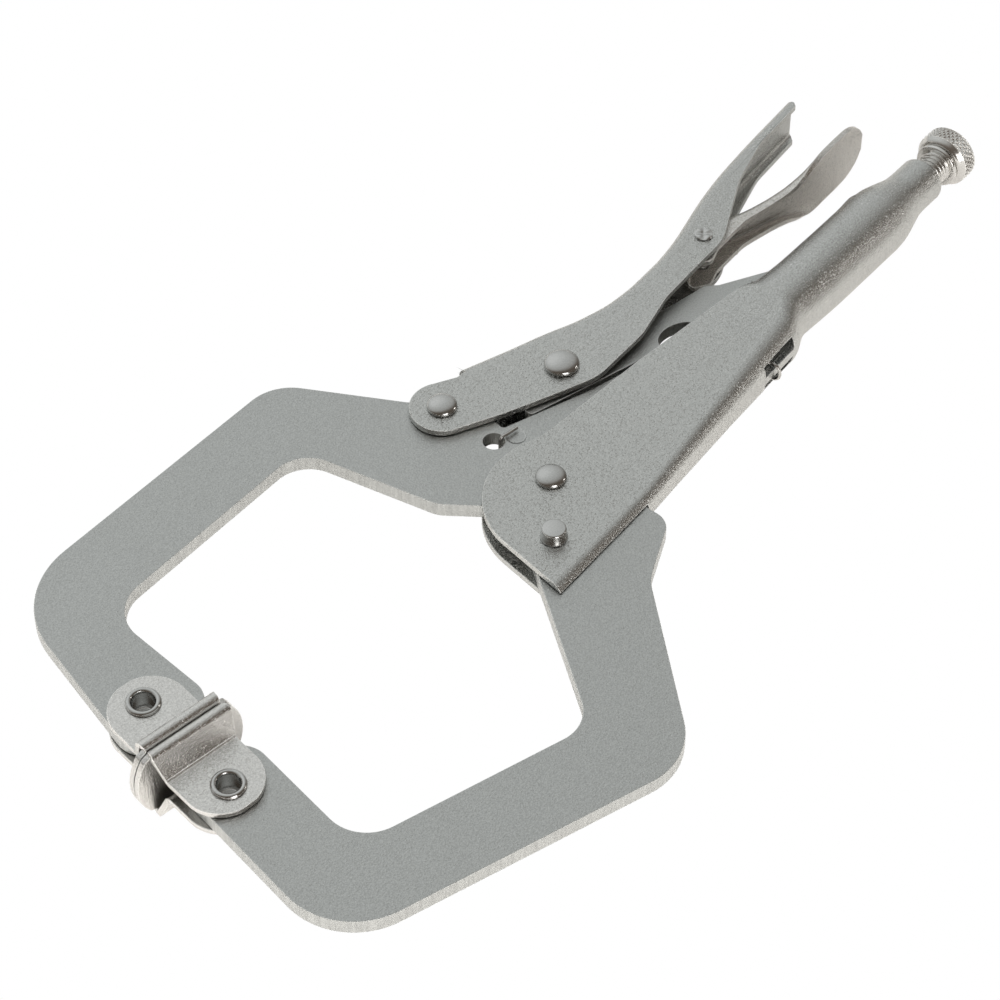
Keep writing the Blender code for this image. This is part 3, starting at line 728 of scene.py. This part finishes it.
# ----------------------------------------------------------------- channels
def body_rings():
    """Front: open channel. Rear: the lips roll in and the tube necks down.

    Front stations are (x, web, half width, bend, top edge), rear stations are
    (x, radius, sheet, rise, roll in degrees).
    """
    rows = []
    lip = 5.0
    half_flat = 0.2
    for x, web, half, bend, top in (
        (-25.0, -22.6, 3.9, 3.0, 16.0),
        (-8.0, -22.0, 3.9, 3.0, 16.0),
        (9.0, -21.4, 3.9, 3.0, 16.0),
        (22.0, -20.3, 4.4, 3.3, 14.0),
        (35.0, -19.3, 5.0, 3.8, 12.0),
        (48.0, -18.4, 5.75, 4.5, 10.0),
        (60.0, -17.7, 6.5, 5.2, 8.0),
        (71.0, -17.1, 7.2, 6.0, 5.5),
    ):
        rows.append((x, web, half - bend, bend - SHEET / 2, SHEET, top - web - bend - lip, lip, 0.0))
    for x, radius, sheet, rise, roll in (
        (79.0, 7.9, 1.6, 1.9, 50.0),
        (85.0, 8.1, 1.6, 1.0, 57.0),
        (90.0, 8.3, 1.6, 0.5, 60.0),
        (96.0, 8.4, 1.55, 0.3, 60.0),
        (104.0, 8.4, 1.5, 0.2, 63.0),
        (112.0, 8.4, 1.5, 0.2, 63.0),
        (117.5, 8.4, 1.5, 0.5, 63.0),
        (119.0, 8.3, 1.5, 0.2, 63.0),
        (121.5, 8.0, 1.5, 0.2, 65.0),
        (124.0, 7.4, 1.45, 0.2, 69.0),
        (127.0, 6.6, 1.35, 0.2, 76.0),
        (129.2, 6.05, 1.3, 0.2, 82.0),
        (131.5, 5.8, 1.25, 0.2, 86.0),
        (138.1, 5.8, 1.25, 0.2, 86.0),
        (138.7, 5.65, 1.1, 0.2, 86.0),
        (139.0, 5.35, 0.8, 0.2, 86.0),
    ):
        mid = radius - sheet / 2
        bend = mid - half_flat
        curl = mid * math.radians(roll)
        rows.append((x, SCREW_Y - radius, half_flat, bend, sheet, rise, curl, roll))
    rings = []
    for x, web, flat, bend, sheet, rise, lip, roll in fair(rows, 1.6):
        pieces = [(flat, 0, 1), (bend * math.pi / 2, 90, 14), (rise, 0, 1), (lip, roll, 12)]
        rings.append(channel_ring(x, web, 1, sheet, pieces))
    return rings


def body_channel(metals):
    obj = solid("body_channel", sheet_loft(body_rings()))
    side = outline([
        (-24.4, -40.0, 0.0),
        (150.0, -40.0, 0.0),
        (150.0, 12.0, 0.0),
        (79.4, 12.0, 0.0),
        (78.2, 1.4, 0.0),
        (77.0, 0.7, 1.0),
        (70.0, 2.2, 8.0),
        (40.0, 6.6, 30.0),
        (9.0, 9.7, 20.0),
        (2.0, 12.2, 10.0),
        (-18.6, 13.6, 19.0),
        (-24.4, -23.0, 0.0),
    ])
    cut(obj, prism(side, -TRIM_CUT, TRIM_CUT), "INTERSECT")
    cut(obj, block(-40, 8.6, -40, -12, -WALL_IN, WALL_IN))
    for sign in (1, -1):
        z0, z1 = sorted((1.2 * sign, 4.4 * sign))
        cut(obj, block(58.0, 70.0, -30.0, -12.0, z0, z1))
    cut(obj, rod(JAW_PIVOT, HOLE_R, CHANNEL_CUT))
    cut(obj, rod(FIXED_RIVET, HOLE_R, CHANNEL_CUT))
    round_edges(obj, SHEET_EDGE)
    smooth(obj)
    keep(obj, metals["sheet"], "body", ["body_shell"])


def lever_channel(metals):
    """Stations are (x, web, half width, bend); the front two are square ends."""
    rows = fair([
        (13.4, 38.2, 3.9, 2.4),
        (24.0, 34.1, 4.15, 2.4),
        (34.5, 30.1, 4.7, 2.5),
        (43.0, 26.5, 5.15, 2.6),
        (52.5, 23.9, 5.7, 2.7),
        (60.0, 23.2, 6.2, 2.8),
        (68.5, 23.4, 6.5, 2.9),
        (77.0, 24.5, 6.6, 3.0),
        (86.0, 26.6, 6.6, 3.0),
        (95.0, 28.7, 6.6, 3.0),
        (105.0, 30.3, 6.6, 3.0),
        (120.0, 31.7, 6.6, 2.9),
        (137.0, 32.8, 6.6, 2.6),
    ], 2.0)
    rows = [[-8.0, 50.0, 3.9, 2.4], [12.6, 50.0, 3.9, 2.4]] + rows
    wall = 34.0
    rings = []
    for x, web, half, bend in rows:
        r = bend - SHEET / 2
        pieces = [(half - bend, 0, 1), (r * math.pi / 2, 90, 10), (wall, 0, 1)]
        rings.append(channel_ring(x, web, -1, SHEET, pieces))
    obj = solid("lever_channel", sheet_loft(rings))
    corners = arc(LEVER_JAW[0], LEVER_JAW[1], LEVER_BOSS_R, 55, 238)
    corners += [
        (9.0, 20.7, 12.0),
        (31.5, 10.9, 14.0),
        (48.0, 10.9, 16.0),
        (60.5, 13.5, 10.0),
        (84.5, 14.6, 14.0),
        (104.0, 24.2, 26.0),
        (118.0, 28.1, 20.0),
        (134.6, 29.4, 0.5),
        (135.6, 30.6, 0.0),
        (135.6, 60.0, 0.0),
        (13.5, 60.0, 0.0),
        (13.5, 36.3, 0.0),
        (10.9, 36.5, 1.5),
    ]
    cut(obj, prism(outline(corners), -TRIM_CUT, TRIM_CUT), "INTERSECT")
    cut(obj, rod(LEVER_JAW, HOLE_R, CHANNEL_CUT))
    cut(obj, rod(LEVER_LINK, HOLE_R, CHANNEL_CUT))
    cut(obj, rod(RELEASE_PIN, PIN_HOLE_R, CHANNEL_CUT))
    round_edges(obj, SHEET_EDGE)
    smooth(obj)
    keep(obj, metals["sheet"], "lever", ["lever_handle"])


def release_channel(metals):
    """Stations are (x, web, half flat, bend, turn in degrees, wall)."""
    rows = fair([
        (73.5, 17.6, 2.2, 1.8, 90, 14.0),
        (77.0, 20.6, 2.2, 1.8, 90, 14.0),
        (80.0, 22.0, 2.2, 1.8, 90, 14.0),
        (86.0, 22.4, 2.2, 1.8, 90, 12.0),
        (91.0, 21.3, 2.2, 1.8, 90, 3.9),
        (94.0, 20.2, 2.2, 1.8, 90, 2.15),
        (98.0, 18.7, 2.2, 1.8, 90, 1.2),
        (104.0, 17.1, 2.3, 1.8, 90, 0.8),
        (109.0, 16.0, 2.6, 1.9, 86, 0.7),
        (113.5, 15.1, 3.2, 2.2, 64, 0.6),
        (118.0, 14.4, 4.0, 2.3, 36, 0.5),
        (123.0, 14.1, 4.6, 2.2, 14, 0.4),
        (129.0, 14.1, 4.6, 2.2, 6, 0.4),
        (134.0, 14.2, 4.4, 2.1, 4, 0.4),
        (137.0, 14.2, 3.8, 1.7, 4, 0.3),
        (139.2, 14.2, 2.6, 1.2, 4, 0.3),
        (140.6, 14.2, 1.0, 0.7, 4, 0.2),
    ], 1.2)
    rings = []
    for x, web, flat_half, bend, turn, wall in rows:
        pieces = [(flat_half, 0, 1), (bend * math.pi / 2, turn, 10), (wall, 0, 1)]
        rings.append(channel_ring(x, web, -1, SHEET_RELEASE, pieces))
    obj = solid("release_channel", sheet_loft(rings))
    side = outline([
        (75.0, 16.0, 1.5),
        (78.6, 13.5, 1.5),
        (83.5, 15.1, 5.0),
        (92.0, 15.5, 0.0),
        (94.0, 13.0, 0.0),
        (95.0, 5.0, 0.0),
        (150.0, 5.0, 0.0),
        (150.0, 40.0, 0.0),
        (75.4, 40.0, 0.0),
    ])
    cut(obj, prism(side, -TRIM_CUT, TRIM_CUT), "INTERSECT")
    cut(obj, rod(RELEASE_PIN, PIN_HOLE_R, CHANNEL_CUT))
    round_edges(obj, THIN_EDGE)
    smooth(obj)
    keep(obj, metals["release"], "release", ["release_lever"])


# --------------------------------------------------------------------- pads
def pad_path():
    """Middle line of the stamping from an ear's end to the face: (depth, z, half width)."""
    radius, fold_z, reach = 14.0, 10.4, 14.5
    ear_half, ear_end = 9.1, 6.9
    back = 0.15 + SHEET_PAD / 2
    bend = 0.9
    top = fold_z - SHEET_PAD / 2 - bend
    ear_z = WALL_IN + SHEET_PAD / 2
    tip = -(reach + ear_end)
    mid = []
    for k in range(27):
        t = math.radians(12.0 + 3.0 * k)
        mid.append((-12.4 + (tip + 12.4) * math.cos(t), ear_z, ear_half * math.sin(t)))
    mid += [(-8.0, ear_z, ear_half), (-6.4, ear_z, ear_half + 0.04)]
    for k in range(7):
        t = k / 6
        ease = t * t * (3 - 2 * t)
        mid.append((-5.8 + 1.05 * t, ear_z + 0.45 * ease, ear_half + 0.05 + 0.1 * t))
    for k in range(13):
        a = 158.0 - 158.0 * k / 12
        z = top + bend * math.sin(math.radians(a))
        n = -(back + bend) + bend * math.cos(math.radians(a))
        mid.append((n, z, math.sqrt(radius ** 2 - max(z, fold_z - 0.4 - a * 0.004) ** 2)))
    for k in range(13):
        z = 8.2 - 0.6 * k
        mid.append((-back, z, math.sqrt(radius ** 2 - z ** 2)))
    return mid + [(n, -z, w) for n, z, w in reversed(mid)], reach


def pad(name, eyelet, up, body, node, metals):
    path, reach = pad_path()
    angle = math.radians(-8.93)
    h = SHEET_PAD / 2
    count = len(path)
    rings = []
    for i in range(count):
        n, z, w = path[i]
        n0, z0, _ = path[max(i - 1, 0)]
        n1, z1, _ = path[min(i + 1, count - 1)]
        length = math.hypot(n1 - n0, z1 - z0)
        tn, tz = (n1 - n0) / length, (z1 - z0) / length
        ring = []
        for s, side in ((-w, 1), (w, 1), (w, -1), (-w, -1)):
            nn = n - tz * h * side + reach
            zz = z + tn * h * side
            x = eyelet[0] + s * math.cos(angle) - up * nn * math.sin(angle)
            y = eyelet[1] + s * math.sin(angle) + up * nn * math.cos(angle)
            ring.append((x, y, zz))
        rings.append(ring)
    obj = solid(name, sheet_loft(rings))
    cut(obj, rod(eyelet, EYELET_R + EYELET_GAP, PAD_CUT))
    round_edges(obj, THIN_EDGE)
    smooth(obj)
    keep(obj, metals["pad"], body, [node])


def eyelet_rivet(name, at, body, node, metals):
    """Half hollow rivet: rolled rim and blind bore on top, low head below."""
    top = WALL_IN + SHEET_PAD + 0.12
    bore, rim, bottom = 2.55, 3.95, -0.8
    roll = (rim - bore) / 2
    profile = [(0.0, -top - 0.85)]
    for k in range(1, 9):
        t = math.radians(90.0 * k / 8)
        profile.append((rim * math.sin(t), -top - 0.2 - 0.65 * math.cos(t)))
    profile += [(rim, -top), (EYELET_R, -top), (EYELET_R, top)]
    for k in range(13):
        a = math.radians(15.0 * k)
        profile.append((rim - roll + roll * math.cos(a), top + 0.8 * math.sin(a)))
    profile += [(bore, bottom + 0.5), (bore - 0.15, bottom + 0.12)]
    profile += [(bore - 0.5, bottom), (0.0, bottom - 0.15)]
    obj = solid(name, turned(profile, at, 72))
    smooth(obj, 50.0, False)
    keep(obj, metals["bright"], body, [node])


# ------------------------------------------------------------------- rivets
def both_ends(half):
    """Whole profile of a rivet from that of its upper end, the same below."""
    return [(r, -z) for r, z in half] + [(r, z) for r, z in reversed(half)]


def domed_rivet(name, at, head_r, seat, rise, body, node, metals):
    half = [(0.0, seat + rise)]
    for k in range(1, 15):
        t = math.radians(90.0 * k / 14)
        half.append((head_r * math.sin(t), seat + 0.25 + (rise - 0.25) * math.cos(t)))
    half += [(head_r, seat + 0.08), (head_r - 0.08, seat), (SHANK_R, seat)]
    obj = solid(name, turned(both_ends(half), at))
    smooth(obj, 50.0, False)
    keep(obj, metals["bright"], body, [node])


def flat_rivet(metals):
    seat = RIVET_SEAT
    top = node_ends("fixed_jaw_rivet")[1].z
    half = [(0.0, top), (2.35, top), (2.6, top - 0.06), (2.76, top - 0.22), (2.8, top - 0.4)]
    half += [(2.9, seat + 1.2), (2.98, seat + 0.7), (3.1, seat + 0.4)]
    half += [(3.15, seat + 0.15), (3.15, seat), (SHANK_R, seat)]
    obj = solid("fixed_rivet_stud", turned(both_ends(half), FIXED_RIVET))
    smooth(obj, 38.0, False)
    keep(obj, metals["bright"], "body", ["fixed_jaw_rivet"])


def release_pin(name, side, node, metals):
    """Short pin whose end is staked into four lobes."""
    low, high = node_ends(node)
    inner = min(abs(low.z), abs(high.z))
    seat = max(abs(low.z), abs(high.z)) - 0.5
    lobe_foot = 0.15
    profile = [
        (0.0, inner),
        (1.3, inner),
        (1.6, inner + 0.3),
        (1.6, seat),
        (2.15, seat),
        (2.2, seat + 0.12),
        (2.1, seat + 0.3),
        (1.85, seat + 0.46),
        (1.5, seat + 0.5),
        (1.1, seat + 0.46),
        (0.7, seat + 0.3),
        (0.45, seat + 0.08),
        (0.0, seat),
    ]
    bm = turned([(r, side * z) for r, z in profile], RELEASE_PIN)
    cx, cy = RELEASE_PIN
    for v in bm.verts:
        height = side * v.co.z - seat
        if height < lobe_foot:
            continue
        lobe = 0.5 + 0.5 * math.cos(4 * math.atan2(v.co.y - cy, v.co.x - cx) + 0.6)
        v.co.z = side * (seat + lobe_foot + (height - lobe_foot) * lobe)
    obj = solid(name, bm)
    smooth(obj, 45.0, False)
    keep(obj, metals["bright"], "lever", [node])


# -------------------------------------------------------------------- screw
def thrust_tip(metals):
    x0, x1 = node_ends("thrust_tip")[0].x, node_ends("thrust_tip")[1].x
    profile = [(0.0, x0)]
    for k in range(1, 9):
        t = math.radians(90.0 * k / 8)
        profile.append((3.4 * math.sin(t) ** 0.8, x0 + 1.8 * (1 - math.cos(t))))
    profile += [(3.4, x1 - 0.3), (3.3, x1 - 0.08), (3.1, x1), (0.0, x1)]
    obj = solid("thrust_button", lay_along_x(turned(profile, (0.0, 0.0), 48)))
    smooth(obj, 40.0, False)
    keep(obj, metals["screw"], "tip", ["thrust_tip"])


def thread_radius(x, turn, start, end):
    """Radius of a rolled thread at x and at that share of a turn."""
    phase = (x / THREAD_PITCH - turn) % 1.0
    rise = abs(2 * phase - 1)
    cut_depth = THREAD_DEPTH * max(0.0, min(1.0, (1.0 - rise - 0.08) / 0.72))
    fade = min(1.0, (x - start) / 1.2, (end - x) / 0.8)
    return THREAD_R - cut_depth * max(0.0, fade)


def screw_ring(x, radii):
    """Points round the screw's axis at x, with a radius for each."""
    out = []
    for k, r in enumerate(radii):
        a = 2 * math.pi * k / len(radii)
        out.append((x, SCREW_Y + r * math.cos(a), r * math.sin(a)))
    return out


def adjusting_screw(metals):
    x0 = node_ends("adjusting_screw")[0].x
    thread = x0 + 0.9
    collar = x0 + 40.2
    around = 56
    rows = []
    steps = int((collar - x0 - 0.9) / THREAD_PITCH * 12)
    stations = [(x0, 0.75), (x0 + 0.45, 0.9)]
    for k in range(steps + 1):
        stations.append((thread + (collar - x0 - 0.9) * k / steps, 1.0))
    for x, share in stations:
        radii = [share * thread_radius(x, s / around, thread, collar) for s in range(around)]
        rows.append(screw_ring(x, radii))
    for r, x in (
        (5.3, collar),
        (5.55, collar + 0.1),
        (5.65, collar + 0.35),
        (5.65, collar + 0.85),
        (5.55, collar + 1.1),
        (5.3, collar + 1.2),
        (3.0, collar + 1.2),
        (3.0, collar + 5.8),
    ):
        rows.append(screw_ring(x, [r] * around))
    obj = solid("screw_threaded", grid(rows))
    smooth(obj, 48.0, False)
    keep(obj, metals["screw"], "screw", ["adjusting_screw"])


def knurl(share, turn):
    """Height of a diamond knurl, 0 in the grooves and 1 on the points."""
    u = (share * KNURL_ROWS / 2 + turn * KNURL_AROUND) % 1.0
    w = (share * KNURL_ROWS / 2 - turn * KNURL_AROUND) % 1.0
    return min(1.0, 1.5 * min(1 - abs(2 * u - 1), 1 - abs(2 * w - 1)))


def knob(metals):
    x0, x1 = node_ends("knob")[0].x, node_ends("knob")[1].x
    radius = node_ends("knob")[1].z
    around = KNURL_AROUND * 10
    lead, tail = 1.45, 0.75
    bore_r, bore_end = 3.3, x0 + 4.6
    stations = [(0.05 * bore_r, bore_end, 0.0), (bore_r, bore_end, 0.0), (bore_r, x0, 0.0)]
    stations.append((radius - 1.7, x0, 0.0))
    stations += [(radius - 1.35, x0 + 0.12, 0.0), (radius - 0.7, x0 + 0.6, 0.0)]
    stations.append((radius - 0.35, x0 + 1.05, 0.0))
    rings = 44
    for k in range(rings + 1):
        x = x0 + lead + (x1 - x0 - lead - tail) * k / rings
        fade = min(1.0, k / 3, (rings - k) / 3)
        stations.append((radius, x, fade))
    stations += [(radius - 0.35, x1 - 0.35, 0.0), (radius - 0.75, x1 - 0.08, 0.0)]
    stations += [(radius - 1.1, x1, 0.0), (0.4, x1, 0.0)]
    rows = []
    for r, x, fade in stations:
        share = (x - x0 - lead) / (x1 - x0 - lead - tail)
        radii = [r] * around
        if fade > 0.0:
            radii = [r - KNURL_DEPTH * (1.0 - fade * knurl(share, s / around)) for s in range(around)]
        elif r > radius - 0.5:
            radii = [r - 0.12] * around
        rows.append(screw_ring(x, radii))
    obj = solid("knob_knurled", grid(rows))
    smooth(obj, 30.0, False)
    keep(obj, metals["screw"], "screw", ["knob"])


# ------------------------------------------------------------------- spring
def return_spring(metals):
    """Extension spring from the jaw's tail to the bar between the body's slots."""
    hx, hy = TAIL_HOLE
    bx, by = 62.0, -17.0
    length = math.hypot(bx - hx, by - hy)
    ux, uy = (bx - hx) / length, (by - hy) / length
    coil_r, per_turn = 1.9, 24

    def at(d, side, z):
        return (hx + ux * d - uy * side, hy + uy * d + ux * side, z)

    head = [at(0, 0, -2.9), at(0, 0, -1.5), at(0, 0, 0.5), at(0, 0, 2.2)]
    head += [at(0.25, 0, 2.8), at(0.9, 0, 3.05), at(3.4, 0, 3.0), at(4.6, 0, 2.5), at(5.5, 0, 1.95)]
    coil = []
    turns, start, end = 9, 5.6, 20.0
    steps = turns * per_turn
    for k in range(steps + 1):
        a = 2 * math.pi * k / per_turn
        d = start + (end - start) * k / steps
        coil.append(at(d, coil_r * math.sin(a), coil_r * math.cos(a)))
    tail = [at(20.1, 0.1, 1.92), at(20.9, 0.6, 2.1), at(23.0, 0.2, 2.3)]
    tail += [
        (61.6, by + 1.2, 2.35),
        (61.9, by - 0.4, 2.2),
        (62.0, by - 1.4, 1.5),
        (62.0, by - 1.75, 0.6),
        (62.0, by - 1.75, -0.6),
        (62.0, by - 1.4, -1.5),
        (61.9, by - 0.4, -2.2),
        (61.6, by + 1.4, -2.3),
    ]
    points = fair_line(head, 4)[:-1] + coil + fair_line(tail, 4)[1:]
    obj = solid("spring_coiled", wire(points, 0.45, 10))
    smooth(obj, 60.0, False)
    obj.data.materials.append(metals["spring"])
    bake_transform(obj)
    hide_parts("return_spring")


def hook_wire(metals):
    """Short bent wire end that stands in the hole above the jaw pivot."""
    hx, hy = SPRING_HOLE
    over = node_ends("hook_wire")[1].z - 0.4
    points = [
        (hx + 1.0, hy - 1.0, -1.4),
        (hx + 1.0, hy - 1.0, 0.2),
        (hx + 1.0, hy - 1.0, 1.7),
        (hx + 1.2, hy - 1.04, over - 0.35),
        (hx + 1.7, hy - 1.13, over),
        (hx + 3.5, hy - 1.5, over),
        (hx + 6.1, hy - 1.9, over),
    ]
    obj = solid("hook_wire_bent", wire(fair_line(points, 4), 0.4))
    smooth(obj, 60.0, False)
    keep(obj, metals["spring"], "jaw", ["hook_wire"])


# ------------------------------------------------------------ light and view
def studio_world():
    """Smooth surround: bright above and toward the lever, warm and dim opposite."""
    world = bpy.data.worlds.new("studio")
    bpy.context.scene.world = world
    world.use_nodes = True
    nodes = world.node_tree.nodes
    links = world.node_tree.links
    coord = nodes.new("ShaderNodeTexCoord")
    side = nodes.new("ShaderNodeVectorMath")
    side.operation = "DOT_PRODUCT"
    side.inputs[1].default_value = (0.25, 0.72, 0.65)
    links.new(coord.outputs["Generated"], side.inputs[0])
    ramp = nodes.new("ShaderNodeValToRGB")
    ramp.color_ramp.interpolation = "B_SPLINE"
    stops = (
        (0.0, (0.10, 0.082, 0.066)),
        (0.30, (0.16, 0.14, 0.12)),
        (0.55, (0.43, 0.43, 0.418)),
        (0.85, (0.56, 0.578, 0.57)),
        (1.0, (0.78, 0.795, 0.79)),
    )
    elements = ramp.color_ramp.elements
    while len(elements) < len(stops):
        elements.new(0.5)
    for element, (place, colour) in zip(elements, stops):
        element.position = place
        element.color = (*colour, 1.0)
    links.new(side.outputs["Value"], ramp.inputs["Fac"])
    links.new(ramp.outputs["Color"], nodes["Background"].inputs["Color"])
    nodes["Background"].inputs["Strength"].default_value = 1.0


def floor():
    """Floor that is plain white to the camera. To every other ray it is a lit warm
    white, which the object shades."""
    material = bpy.data.materials.new("floor_white")
    material.use_nodes = True
    nodes = material.node_tree.nodes
    links = material.node_tree.links
    shader = nodes["Principled BSDF"]
    shader.inputs["Base Color"].default_value = (0.88, 0.865, 0.845, 1.0)
    shader.inputs["Roughness"].default_value = 0.9
    shader.inputs["Specular IOR Level"].default_value = 0.0
    glow = nodes.new("ShaderNodeEmission")
    glow.inputs["Strength"].default_value = 1.0
    path = nodes.new("ShaderNodeLightPath")
    mix = nodes.new("ShaderNodeMixShader")
    links.new(path.outputs["Is Camera Ray"], mix.inputs["Fac"])
    links.new(shader.outputs["BSDF"], mix.inputs[1])
    links.new(glow.outputs["Emission"], mix.inputs[2])
    links.new(mix.outputs["Shader"], nodes["Material Output"].inputs["Surface"])
    bm = bmesh.new()
    bmesh.ops.create_grid(bm, x_segments=1, y_segments=1, size=3.0)
    mesh = bpy.data.meshes.new("floor")
    bm.to_mesh(mesh)
    bm.free()
    mesh.materials.append(material)
    obj = bpy.data.objects.new("floor", mesh)
    obj.location.z = -0.0002
    bpy.context.scene.collection.objects.link(obj)


def area_light(name, toward, distance, size, power, colour, glossy):
    """Square soft light from a direction; glossy says if its reflection is seen."""
    data = bpy.data.lights.new(name, "AREA")
    data.size = size
    data.energy = power
    data.color = colour
    obj = bpy.data.objects.new(name, data)
    direction = Vector(toward).normalized()
    obj.location = direction * distance
    obj.rotation_euler = direction.to_track_quat("Z", "Y").to_euler()
    obj.visible_glossy = glossy
    bpy.context.scene.collection.objects.link(obj)


def camera():
    """Long lens, looking down at the clamp past its jaws, from the body's side."""
    distance = 0.725
    data = bpy.data.cameras.new("camera")
    data.lens = 116.3
    data.sensor_width = 36.0
    data.clip_start = 0.01
    obj = bpy.data.objects.new("camera", data)
    target = ZERO + Vector((-11.1, 5.7, 2.0)) * MM
    back = Vector((-0.5153, -0.4212, 0.7463)).normalized()
    right = Vector((0.6329, -0.7743, 0.0)).normalized()
    up = back.cross(right)
    matrix = Matrix((right, up, back)).transposed().to_4x4()
    matrix.translation = target + back * distance
    obj.matrix_world = matrix
    bpy.context.scene.collection.objects.link(obj)
    bpy.context.scene.camera = obj


# ----------------------------------------------------------------- assembly
def build():
    metals = make_materials()
    moving_jaw(metals)
    fixed_jaw(metals)
    toggle_link(metals)
    body_channel(metals)
    lever_channel(metals)
    release_channel(metals)
    pad("pad_stamping_upper", UPPER_EYELET, -1, "pad_upper", "upper_pad", metals)
    pad("pad_stamping_lower", LOWER_EYELET, 1, "pad_lower", "lower_pad", metals)
    eyelet_rivet("eyelet_rolled_upper", UPPER_EYELET, "jaw", "upper_pad_eyelet", metals)
    eyelet_rivet("eyelet_rolled_lower", LOWER_EYELET, "body", "lower_pad_eyelet", metals)
    seat = RIVET_SEAT
    domed_rivet("jaw_rivet_domed", JAW_PIVOT, 3.6, seat, 1.8, "body", "jaw_pivot_rivet", metals)
    domed_rivet("lever_rivet_domed", LEVER_JAW, 3.55, seat, 1.8, "jaw", "lever_jaw_rivet", metals)
    domed_rivet("link_rivet_domed", LEVER_LINK, 4.15, 4.75, 2.0, "lever", "lever_link_rivet", metals)
    flat_rivet(metals)
    release_pin("release_pin_staked_upper", 1, "release_pin_upper", metals)
    release_pin("release_pin_staked_lower", -1, "release_pin_lower", metals)
    thrust_tip(metals)
    adjusting_screw(metals)
    knob(metals)
    return_spring(metals)
    hook_wire(metals)


build()
studio_world()
floor()
area_light("key", toward=(-0.6, -0.5, 0.75), distance=1.1, size=0.7, power=13.0,
           colour=(1.0, 0.985, 0.965), glossy=False)
area_light("front", toward=(-0.45, -0.85, 0.30), distance=1.0, size=0.45, power=2.2,
           colour=(1.0, 0.99, 0.98), glossy=True)
area_light("rim", toward=(0.75, -0.62, 0.30), distance=1.0, size=0.12, power=0.30,
           colour=(1.0, 0.97, 0.93), glossy=True)
camera()
bpy.context.scene.view_settings.view_transform = "Standard"
